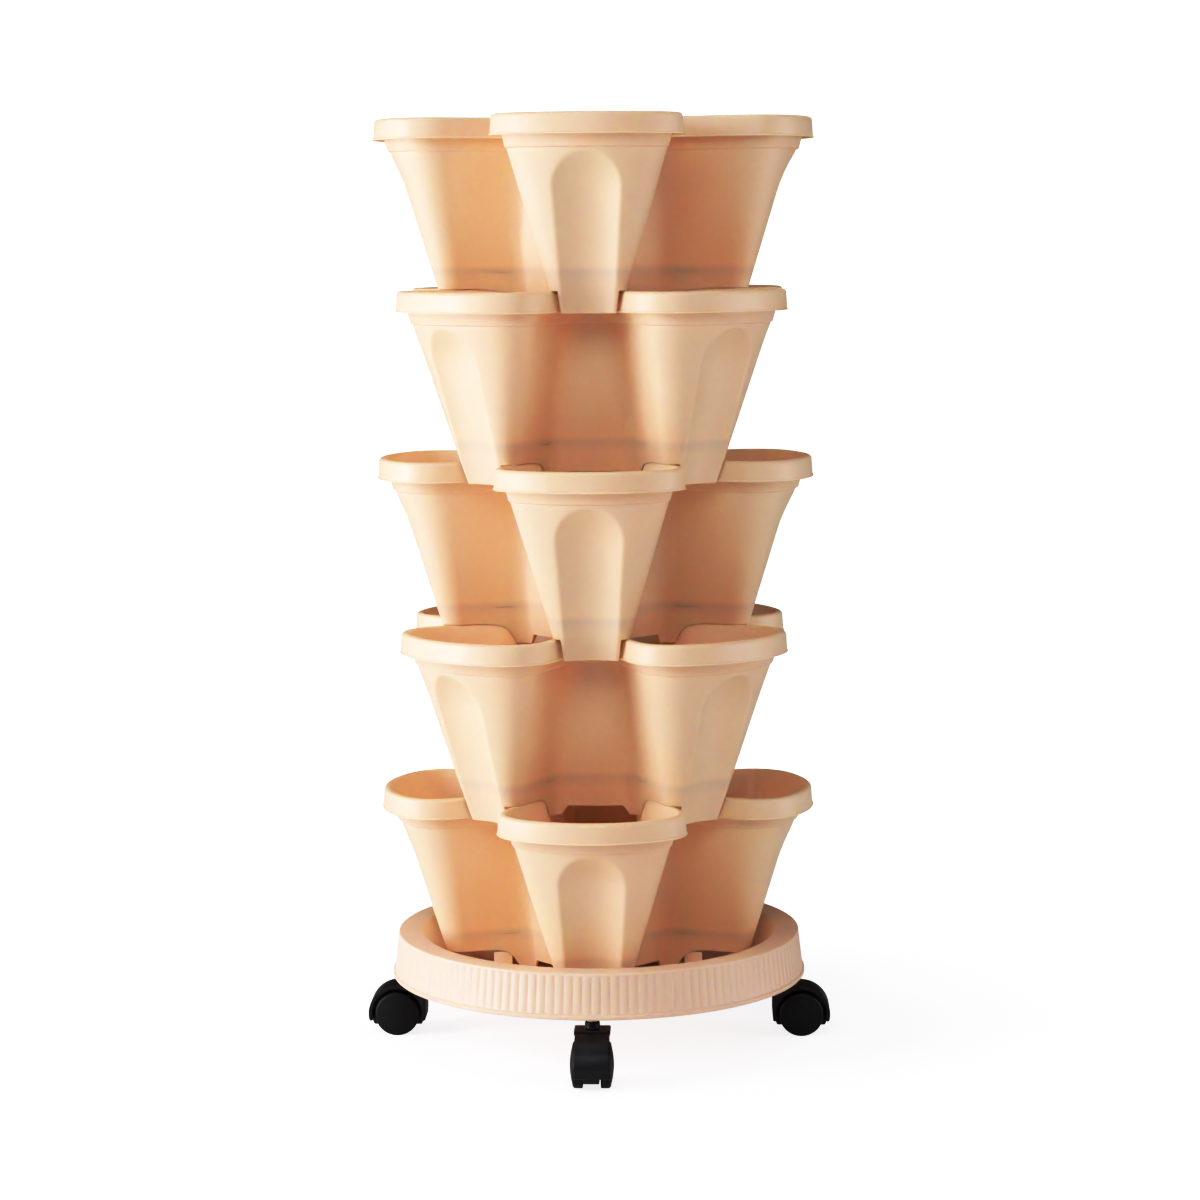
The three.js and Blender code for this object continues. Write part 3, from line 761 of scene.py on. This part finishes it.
def tray(finish):
    """The tray with its lugs and bosses as one moulding, hung from the top of the part's tray."""
    shell = lofted("tray_shell", well_rings() + fluted_rings() + underside_rings(), capped=True)
    pieces = [shell, *lug_pieces()]
    for index in range(LOBE_COUNT):
        pieces += boss_pieces(index * LOBE_TURN)
    whole = merged("tray_body", pieces)
    smooth(whole, TRAY_CREASE)
    whole.data.materials.append(finish)
    whole.location.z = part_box("tray")[1].z - TRAY_HEIGHT * MM
    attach(whole, "base")
    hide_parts("tray")


# Castors, built with the swivel axis on Z and the wheels trailing towards +X

WHEEL_RADIUS = 18
WHEEL_INNER = 7
WHEEL_TREAD = 7
WHEEL_DOME = 3
WHEEL_INNER_ROUND = 0.8
WHEEL_SHOULDER = 3.2
WHEEL_SHOULDER_DROP = 1.2
WHEEL_FACE_RISE = 1.0
WHEEL_FACE_SHARES = (0.12, 0.3, 0.5, 0.7, 0.88)
WHEEL_SIDES = 64
WHEEL_CREASE = 40
TRAIL = 16
WHEEL_CENTRE = (TRAIL, WHEEL_RADIUS)
AXLE_PLACE = (TRAIL, 0, WHEEL_RADIUS)
AXLE_RADIUS = 2
AXLE_END = 14.5
AXLE_EDGE = 0.3
AXLE_SIDES = 24
HOOD_RADIUS = 23.5
WELL_RADIUS = 20.5
HOOD_MIDDLE = (HOOD_RADIUS + WELL_RADIUS) / 2
HOOD_HALF = 13
HOOD_REAR = TRAIL - HOOD_RADIUS
HOOD_REAR_LOW = WHEEL_RADIUS + 0.4
SKIRT_HEIGHT = 12
COVER_EDGE = 1.0
COVER_POINTS = 30
WELL_POINTS = 36
TIP_POINTS = 7
WEB_HALF = 6.3
WEB_HEIGHT = 7.7
WEB_EDGE = 0.6
WEB_POINTS = 40
PLATE_HALF = 14
PLATE_THICKNESS = 4
PLATE_TOP = 43
PLATE_REACH = 11
PLATE_EDGE = 0.8
NECK_RADIUS = 5.85
NECK_TOP = 48
NECK_ROUND = 1.2
NECK_FILLET = 1
NECK_FILLET_SHARE = 0.3
NECK_SIDES = 40
STEM_HEAD_RADIUS = 4.6
STEM_HEAD_HEIGHT = 2
STEM_BOTTOM = 32
STEM_TOP = 80.1
STEM_EDGE = 0.5
STEM_SIDES = 28
CASTOR_BEVEL_ANGLE = 40
CASTOR_CREASE = 34


def arc_points(centre, radius, start, end, count):
    """Points of an arc, both ends included."""
    return [
        (centre[0] + radius * math.cos(angle), centre[1] + radius * math.sin(angle))
        for angle in np.linspace(start, end, count)
    ]


def stem_room():
    """The bore for the stem and the pocket for its head."""
    bore, pocket = STEM_RADIUS + GAP, STEM_HEAD_RADIUS + GAP
    pocket_top = STEM_BOTTOM + STEM_HEAD_HEIGHT + GAP
    bore_top = NECK_TOP + OVERRUN
    profile = [
        (0, 0),
        (pocket, 0),
        (pocket, pocket_top),
        (bore, pocket_top),
        (bore, bore_top),
        (0, bore_top),
    ]
    return turned_profile("stem_room", profile, NECK_SIDES)


def cover_piece():
    """Curved cover over the wheels with two rounded ends and a flat rear."""
    tip_round = (HOOD_RADIUS - WELL_RADIUS) / 2
    low = math.asin((SKIRT_HEIGHT - WHEEL_RADIUS + tip_round) / HOOD_MIDDLE)
    tip = (TRAIL + HOOD_MIDDLE * math.cos(low), WHEEL_RADIUS + HOOD_MIDDLE * math.sin(low))
    rear_tip = (2 * TRAIL - tip[0], tip[1])
    step = math.pi / 2 + math.asin((TRAIL - PLATE_REACH) / HOOD_RADIUS)
    outline = arc_points(WHEEL_CENTRE, HOOD_RADIUS, low, step, COVER_POINTS)
    outline += [(HOOD_REAR, outline[-1][1]), (HOOD_REAR, HOOD_REAR_LOW)]
    outline += arc_points(rear_tip, tip_round, math.pi - low, 2 * math.pi - low, TIP_POINTS)
    outline += arc_points(WHEEL_CENTRE, WELL_RADIUS, math.pi - low, low, WELL_POINTS)
    outline += arc_points(tip, tip_round, math.pi + low, 2 * math.pi + low, TIP_POINTS)[1:-1]
    cover = prism("cover", outline, -HOOD_HALF, HOOD_HALF)
    rounded(cover, COVER_EDGE, segments=3, angle=CASTOR_BEVEL_ANGLE)
    return cover


def web_piece():
    """Web between the wheels, which holds the axle."""
    low = math.asin((WEB_HEIGHT - WHEEL_RADIUS) / HOOD_MIDDLE)
    outline = arc_points(WHEEL_CENTRE, HOOD_MIDDLE, low, math.pi - low, WEB_POINTS)
    web = prism("web", outline, -WEB_HALF, WEB_HALF)
    rounded(web, WEB_EDGE, segments=2, angle=CASTOR_BEVEL_ANGLE)
    return web


def plate_piece():
    """Flat plate on top of the cover's rear."""
    bottom = PLATE_TOP - PLATE_THICKNESS
    outline = [
        (HOOD_REAR, bottom),
        (PLATE_REACH, bottom),
        (PLATE_REACH, PLATE_TOP),
        (HOOD_REAR, PLATE_TOP),
    ]
    plate = prism("plate", outline, -PLATE_HALF, PLATE_HALF)
    rounded(plate, PLATE_EDGE, segments=3, angle=CASTOR_BEVEL_ANGLE)
    return plate


def neck_piece():
    """Neck round the stem, with a fillet at the plate and a rounded top."""
    bottom = PLATE_TOP - PLATE_THICKNESS / 2
    bore = STEM_RADIUS + GAP
    halfway = NECK_FILLET * NECK_FILLET_SHARE
    profile = [
        (bore, bottom),
        (NECK_RADIUS + NECK_FILLET, bottom),
        (NECK_RADIUS + NECK_FILLET, PLATE_TOP),
        (NECK_RADIUS + halfway, PLATE_TOP + halfway),
        (NECK_RADIUS, PLATE_TOP + NECK_FILLET),
        (NECK_RADIUS, NECK_TOP - NECK_ROUND),
    ]
    for angle in arc_steps(4)[1:]:
        radius = NECK_RADIUS - NECK_ROUND * (1 - math.cos(angle))
        profile.append((radius, NECK_TOP - NECK_ROUND * (1 - math.sin(angle))))
    profile += [(bore, NECK_TOP), (bore, bottom)]
    return turned_profile("neck", profile, NECK_SIDES)


def hood_piece():
    """Cover, web, plate and neck as one moulding."""
    cover, web, plate, neck = cover_piece(), web_piece(), plate_piece(), neck_piece()
    for part in (cover, web, plate):
        carve(part, stem_room())
    return merged("hood", [cover, web, plate, neck])


def wheel_piece(side):
    """Wheel with a rounded tread and a domed outer face, turned about the axle."""
    tread = WHEEL_INNER + WHEEL_TREAD
    bore = AXLE_RADIUS + GAP
    profile = [(0, AXLE_END + GAP), (bore, AXLE_END + GAP), (bore, WHEEL_INNER)]
    for angle in arc_steps(3):
        radius = WHEEL_RADIUS - WHEEL_INNER_ROUND * (1 - math.sin(angle))
        profile.append((radius, WHEEL_INNER + WHEEL_INNER_ROUND * (1 - math.cos(angle))))
    rise = WHEEL_SHOULDER_DROP + WHEEL_FACE_RISE
    for angle in arc_steps(7):
        radius = WHEEL_RADIUS - WHEEL_SHOULDER * (1 - math.cos(angle))
        profile.append((radius, tread - WHEEL_SHOULDER_DROP + rise * math.sin(angle)))
    face_edge = WHEEL_RADIUS - WHEEL_SHOULDER
    face_height = tread + WHEEL_FACE_RISE
    dome = tread + WHEEL_DOME
    for share in WHEEL_FACE_SHARES:
        height = face_height + (dome - face_height) * (1 - (1 - share) ** 2)
        profile.append((face_edge * (1 - share), height))
    profile.append((0, dome))
    facing = [(radius, side * height) for radius, height in profile]
    return place(turned_profile("wheel", facing, WHEEL_SIDES, axis="Y"), at=AXLE_PLACE)


def axle_piece():
    """Steel pin through the web, with broken edges."""
    profile = [
        (0, -AXLE_END),
        (AXLE_RADIUS - AXLE_EDGE, -AXLE_END),
        (AXLE_RADIUS, -AXLE_END + AXLE_EDGE),
        (AXLE_RADIUS, AXLE_END - AXLE_EDGE),
        (AXLE_RADIUS - AXLE_EDGE, AXLE_END),
        (0, AXLE_END),
    ]
    return place(turned_profile("axle", profile, AXLE_SIDES, axis="Y"), at=AXLE_PLACE)


def stem_piece():
    """Steel pin with a head at its lower end, on which the hood turns."""
    head_top = STEM_BOTTOM + STEM_HEAD_HEIGHT
    profile = [
        (0, STEM_BOTTOM),
        (STEM_HEAD_RADIUS - STEM_EDGE, STEM_BOTTOM),
        (STEM_HEAD_RADIUS, STEM_BOTTOM + STEM_EDGE),
        (STEM_HEAD_RADIUS, head_top - STEM_EDGE),
        (STEM_HEAD_RADIUS - STEM_EDGE, head_top),
        (STEM_RADIUS, head_top),
        (STEM_RADIUS, STEM_TOP - 2 * STEM_EDGE),
        (STEM_RADIUS - 2 * STEM_EDGE, STEM_TOP),
        (0, STEM_TOP),
    ]
    return turned_profile("stem", profile, STEM_SIDES)


def castors(plastic, tread, metal):
    """A castor under each boss, trailing outwards."""
    for index, spot in enumerate(PLACES):
        turn = index * LOBE_TURN
        centre = (STEM_CIRCLE * math.cos(turn), STEM_CIRCLE * math.sin(turn), 0)
        body = f"castor_{spot}"
        pieces = (
            ("hood", hood_piece(), body, plastic, "castor_plastic", CASTOR_CREASE),
            ("stem", stem_piece(), "base", metal, "steel", CASTOR_CREASE),
            ("axle", axle_piece(), body, metal, "steel", CASTOR_CREASE),
            ("wheel_a", wheel_piece(1), f"{body}_wheel_a", tread, "wheel_plastic", WHEEL_CREASE),
            ("wheel_b", wheel_piece(-1), f"{body}_wheel_b", tread, "wheel_plastic", WHEEL_CREASE),
        )
        for part, piece, rider, finish, slot, crease in pieces:
            place(piece, turn)
            place(piece, at=centre)
            piece.name = f"{body}_{part}_shape"
            smooth(piece, crease)
            piece.data.materials.append(finish)
            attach(piece, rider)
            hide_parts(f"{body}_{part}")


# Materials

GRAIN_DEPTH = 0.2
LIGHT_REACH = 3.3
LIGHT_REACH_SHARES = (1.0, 0.52, 0.18)
STEEL_DARK = (0.42, 0.43, 0.44)
STEEL_BRIGHT = (0.62, 0.63, 0.64)

# Sockets of the node that mixes two colours
MIX_FIRST = 6
MIX_SECOND = 7
MIX_RESULT = 2


class Nodes:
    """Short names for making a material's nodes and links."""

    def __init__(self, name):
        self.material = bpy.data.materials.new(name)
        self.material.use_nodes = True
        self.tree = self.material.node_tree
        self.shader = self.tree.nodes["Principled BSDF"]

    def add(self, kind, **values):
        made = self.tree.nodes.new(kind)
        for name, value in values.items():
            setattr(made, name, value)
        return made

    def link(self, source, target):
        self.tree.links.new(source, target)

    def give(self, name, value):
        """Sets one of the shader's inputs to an output or to a plain value."""
        if isinstance(value, bpy.types.NodeSocket):
            self.link(value, self.shader.inputs[name])
        else:
            self.shader.inputs[name].default_value = value

    def position(self):
        """A place in the piece's own coordinates, in metres."""
        return self.add("ShaderNodeTexCoord").outputs["Object"]

    def noise(self, scale, detail, roughness, stretch=(1, 1, 1)):
        """A noise in the piece's own coordinates, with its scale per metre."""
        mapping = self.add("ShaderNodeMapping")
        mapping.inputs["Scale"].default_value = stretch
        texture = self.add("ShaderNodeTexNoise")
        texture.inputs["Scale"].default_value = scale
        texture.inputs["Detail"].default_value = detail
        texture.inputs["Roughness"].default_value = roughness
        self.link(self.position(), mapping.inputs["Vector"])
        self.link(mapping.outputs["Vector"], texture.inputs["Vector"])
        return texture.outputs["Fac"]

    def span(self, source, low, high, out_low=0, out_high=1):
        """Maps one range of a value onto another."""
        made = self.add("ShaderNodeMapRange")
        made.inputs["From Min"].default_value = low
        made.inputs["From Max"].default_value = high
        made.inputs["To Min"].default_value = out_low
        made.inputs["To Max"].default_value = out_high
        self.link(source, made.inputs["Value"])
        return made.outputs["Result"]

    def product(self, first, second):
        """Two values multiplied."""
        made = self.add("ShaderNodeMath", operation="MULTIPLY")
        self.link(first, made.inputs[0])
        self.link(second, made.inputs[1])
        return made.outputs["Value"]

    def mix(self, share, first, second):
        """Mixes two colours. Each is an output or a plain colour."""
        made = self.add("ShaderNodeMix", data_type="RGBA")
        self.link(share, made.inputs["Factor"])
        for value, socket in ((first, MIX_FIRST), (second, MIX_SECOND)):
            if isinstance(value, tuple):
                made.inputs[socket].default_value = (*value, 1)
            else:
                self.link(value, made.inputs[socket])
        return made.outputs[MIX_RESULT]

    def bump(self, source, strength):
        """Turns a value into fine relief of the surface."""
        made = self.add("ShaderNodeBump")
        made.inputs["Strength"].default_value = strength
        made.inputs["Distance"].default_value = GRAIN_DEPTH * MM
        self.link(source, made.inputs["Height"])
        self.give("Normal", made.outputs["Normal"])


@dataclass(frozen=True)
class PaintedShadowBand:
    """Painted shade: the floor plate's shadow, seen through the wall, painted as a darker stretch.

    It begins at the top with a soft edge and fades downwards from its strongest share to its lasting one.
    """

    tint: tuple
    top: float
    soft: float
    fade: float
    strongest: float
    lasting: float


def with_painted_shadow(nodes, colour, painted_shadow):
    """A colour with the painted shadow of the floor plate laid over it."""
    split = nodes.add("ShaderNodeSeparateXYZ")
    nodes.link(nodes.position(), split.inputs["Vector"])
    height = split.outputs["Z"]
    top, soft, fade = (MM * value for value in (painted_shadow.top, painted_shadow.soft, painted_shadow.fade))
    below = nodes.span(height, top + soft / 2, top - soft / 2)
    fading = nodes.span(height, top - soft, top - fade, painted_shadow.strongest, painted_shadow.lasting)
    return nodes.mix(nodes.product(below, fading), colour, painted_shadow.tint)


def moulded_plastic(name, main, deep, painted_shadow=None):
    """Satin translucent polypropylene with cloudy tint, fine grain and, when given, a painted shadow of
    the floor plate.
    """
    nodes = Nodes(name)
    clouds = nodes.noise(scale=9, detail=3, roughness=0.55)
    colour = nodes.mix(nodes.span(clouds, 0.35, 0.65), main, deep)
    # Painted shade: the floor plate's shadow, seen through the wall, laid over the colour as a darker tint
    if painted_shadow is not None:
        colour = with_painted_shadow(nodes, colour, painted_shadow)
    patches = nodes.noise(scale=45, detail=4, roughness=0.6)
    grain = nodes.noise(scale=1800, detail=2, roughness=0.5)
    nodes.bump(grain, strength=0.08)
    nodes.give("Base Color", colour)
    nodes.give("Roughness", nodes.span(patches, 0.3, 0.7, out_low=0.42, out_high=0.54))
    nodes.give("IOR", 1.49)
    nodes.give("Specular IOR Level", 1.0)
    nodes.give("Subsurface Weight", 1.0)
    nodes.give("Subsurface Radius", LIGHT_REACH_SHARES)
    nodes.give("Subsurface Scale", LIGHT_REACH * MM)
    return nodes.material


def black_plastic(name, main, worn, roughness):
    """Satin black nylon with fine grain and slightly dusty patches."""
    nodes = Nodes(name)
    dust = nodes.noise(scale=60, detail=5, roughness=0.6)
    streaks = nodes.noise(scale=300, detail=3, roughness=0.5, stretch=(1, 1, 4))
    grain = nodes.noise(scale=2500, detail=2, roughness=0.5)
    nodes.bump(grain, strength=0.2)
    nodes.give("Base Color", nodes.mix(nodes.span(dust, 0.45, 0.75), main, worn))
    smooth_streak, rough_streak = roughness - 0.05, roughness + 0.08
    nodes.give("Roughness", nodes.span(streaks, 0.3, 0.7, smooth_streak, rough_streak))
    nodes.give("Specular IOR Level", 0.3)
    return nodes.material


def plated_steel(name):
    """Bright zinc-plated steel with fine drawn lines."""
    nodes = Nodes(name)
    lines = nodes.noise(scale=400, detail=3, roughness=0.6, stretch=(1, 1, 0.05))
    nodes.bump(lines, strength=0.05)
    nodes.give("Base Color", nodes.mix(nodes.span(lines, 0.3, 0.7), STEEL_DARK, STEEL_BRIGHT))
    nodes.give("Roughness", nodes.span(lines, 0.3, 0.7, out_low=0.24, out_high=0.38))
    nodes.give("Metallic", 1.0)
    return nodes.material


# Stage, light and camera

FLOOR_RADIUS = 14000
FLOOR_THICKNESS = 20
FLOOR_SIDES = 96
FLOOR_GREY = (0.8, 0.8, 0.8, 1)
FLOOR_ROUGHNESS = 0.85
GLOW_NEAR_RADIUS = 250
GLOW_FAR_RADIUS = 900
FLOOR_GLOW_NEAR = 0.9
FLOOR_GLOW_FAR = 1.8
WORLD_GLOW = 0.05
WORLD_WHITE = 2.0
WHITE = (1, 1, 1, 1)
CAMERA_DISTANCE = 2464.9
CAMERA_HEIGHT = 655.6
CAMERA_AZIMUTH = 2.09
CAMERA_PITCH = 6.91
CAMERA_ROLL = 0.427
CAMERA_REACH = 100000
FOCAL_PIXELS = 3077.0
FRAME_PIXELS = 1200
CENTRE_PIXEL = 596.3
SENSOR = 36
AIM_HEIGHT = 400
SIDE_TINT = (0.93, 0.90, 1.0)
TOP_TINT = (0.93, 0.92, 1.0)
FILL_TINT = (0.93, 0.91, 1.0)


@dataclass(frozen=True)
class Lamp:
    """A rectangular soft light. Its azimuth is in degrees to the right of the front."""

    name: str
    azimuth: float
    height: float
    distance: float
    width: float
    tall: float
    power: float
    tint: tuple


LAMPS = (
    Lamp("key", azimuth=-66, height=600, distance=2100, width=1000, tall=1500, power=51, tint=SIDE_TINT),
    Lamp("side", azimuth=-106, height=700, distance=2000, width=900, tall=1500, power=10, tint=SIDE_TINT),
    Lamp("over", azimuth=-2, height=1700, distance=2300, width=1600, tall=1000, power=22, tint=TOP_TINT),
    Lamp("top", azimuth=-20, height=2700, distance=260, width=1500, tall=1500, power=16, tint=TOP_TINT),
    Lamp("fill", azimuth=80, height=640, distance=2400, width=1500, tall=1500, power=22, tint=FILL_TINT),
)

# A photographic tone curve, as shades and how they are shown
TONE_WHITE = 1.5
TONE_CURVE = (
    (0.067, 0.055),
    (0.133, 0.131),
    (0.233, 0.302),
    (0.4, 0.58),
    (0.567, 0.79),
    (0.8, 0.945),
)
COMBINED_CURVE = 3


def stage_paint():
    """Pale floor that fades into the white backdrop away from the tower."""
    nodes = Nodes("stage_paint")
    away = nodes.add("ShaderNodeVectorMath", operation="LENGTH")
    nodes.link(nodes.position(), away.inputs[0])
    glow = nodes.span(
        away.outputs["Value"],
        GLOW_NEAR_RADIUS * MM,
        GLOW_FAR_RADIUS * MM,
        FLOOR_GLOW_NEAR,
        FLOOR_GLOW_FAR,
    )
    seen = nodes.add("ShaderNodeLightPath").outputs["Is Camera Ray"]
    nodes.give("Base Color", FLOOR_GREY)
    nodes.give("Roughness", FLOOR_ROUGHNESS)
    nodes.give("Emission Color", WHITE)
    nodes.give("Emission Strength", nodes.product(glow, seen))
    return nodes.material


def floor():
    """A wide round plate under the castors."""
    profile = [(0, -FLOOR_THICKNESS), (FLOOR_RADIUS, -FLOOR_THICKNESS), (FLOOR_RADIUS, 0), (0, 0)]
    plate = turned_profile("floor", profile, FLOOR_SIDES)
    plate.data.materials.append(stage_paint())


def soft_light(lamp):
    """Hangs up a lamp that looks at the tower's axis."""
    data = bpy.data.lights.new(lamp.name, "AREA")
    data.shape = "RECTANGLE"
    data.size = lamp.width * MM
    data.size_y = lamp.tall * MM
    data.energy = lamp.power
    data.color = lamp.tint
    angle = math.radians(lamp.azimuth)
    side = math.sin(angle) * lamp.distance
    depth = -math.cos(angle) * lamp.distance
    spot = Vector((side, depth, lamp.height)) * MM
    direction = Vector((0, 0, AIM_HEIGHT * MM)) - spot
    made = linked(lamp.name, data)
    made.location = spot
    made.rotation_euler = direction.to_track_quat("-Z", "Y").to_euler()


def surroundings():
    """A white backdrop for the camera and a dimmer even glow for everything else."""
    world = bpy.data.worlds.new("studio")
    bpy.context.scene.world = world
    world.use_nodes = True
    tree = world.node_tree
    tree.nodes.clear()
    rays = tree.nodes.new("ShaderNodeLightPath")
    choice = tree.nodes.new("ShaderNodeMixShader")
    out = tree.nodes.new("ShaderNodeOutputWorld")
    tree.links.new(rays.outputs["Is Camera Ray"], choice.inputs["Fac"])
    for socket, strength in ((1, WORLD_GLOW), (2, WORLD_WHITE)):
        background = tree.nodes.new("ShaderNodeBackground")
        background.inputs["Color"].default_value = WHITE
        background.inputs["Strength"].default_value = strength
        tree.links.new(background.outputs[0], choice.inputs[socket])
    tree.links.new(choice.outputs[0], out.inputs["Surface"])


def camera():
    """The photograph's view, looking down a little and slightly rolled."""
    data = bpy.data.cameras.new("view")
    data.sensor_width = SENSOR
    data.sensor_fit = "HORIZONTAL"
    data.lens = FOCAL_PIXELS / FRAME_PIXELS * SENSOR
    data.shift_x = (FRAME_PIXELS / 2 - CENTRE_PIXEL) / FRAME_PIXELS
    data.clip_end = CAMERA_REACH * MM
    made = linked("view", data)
    angle = math.radians(CAMERA_AZIMUTH)
    pitch = math.radians(CAMERA_PITCH)
    outward_way = Vector((math.sin(angle), -math.cos(angle), 0))
    made.location = (outward_way * CAMERA_DISTANCE + Vector((0, 0, CAMERA_HEIGHT))) * MM
    inward = -math.cos(pitch)
    ahead = Vector((outward_way.x * inward, outward_way.y * inward, -math.sin(pitch)))
    facing = ahead.to_track_quat("-Z", "Y").to_matrix()
    roll = Matrix.Rotation(-math.radians(CAMERA_ROLL), 3, "Z")
    made.rotation_euler = (facing @ roll).to_euler()
    bpy.context.scene.camera = made


def tone():
    """Deeper shade and softer highlights, by the tone curve."""
    settings = bpy.context.scene.view_settings
    settings.view_transform = "Standard"
    settings.use_curve_mapping = True
    mapping = settings.curve_mapping
    mapping.white_level = (TONE_WHITE, TONE_WHITE, TONE_WHITE)
    for shade, shown in TONE_CURVE:
        mapping.curves[COMBINED_CURVE].points.new(shade, shown)
    mapping.update()


# The scene

# Painted shadow of the floor plate inside each pot, seen through the wall, as a darker stretch from the
# plate downwards
PAINTED_PLATE_SHADOW = PaintedShadowBand(
    tint=(0.60, 0.52, 0.39),
    top=34.3,
    soft=4,
    fade=11.5,
    strongest=0.44,
    lasting=0.16,
)
POT_MAIN, POT_DEEP = (0.965, 0.675, 0.44), (0.955, 0.645, 0.41)
TRAY_MAIN, TRAY_DEEP = (0.955, 0.665, 0.48), (0.945, 0.64, 0.45)
CASTOR_MAIN, CASTOR_WORN = (0.007, 0.007, 0.0072), (0.012, 0.012, 0.0125)
TREAD_MAIN, TREAD_WORN = (0.003, 0.003, 0.0032), (0.006, 0.006, 0.006)
CASTOR_ROUGHNESS = 0.40
TREAD_ROUGHNESS = 0.46

tone()
camera()
for studio_lamp in LAMPS:
    soft_light(studio_lamp)
surroundings()
floor()

pot_finish = moulded_plastic("pot_finish", POT_MAIN, POT_DEEP, PAINTED_PLATE_SHADOW)
tray_finish = moulded_plastic("tray_finish", TRAY_MAIN, TRAY_DEEP)
castor_finish = black_plastic("castor_finish", CASTOR_MAIN, CASTOR_WORN, CASTOR_ROUGHNESS)
tread_finish = black_plastic("tread_finish", TREAD_MAIN, TREAD_WORN, TREAD_ROUGHNESS)
steel_finish = plated_steel("steel_finish")

pots(pot_finish)
tray(tray_finish)
castors(castor_finish, tread_finish, steel_finish)
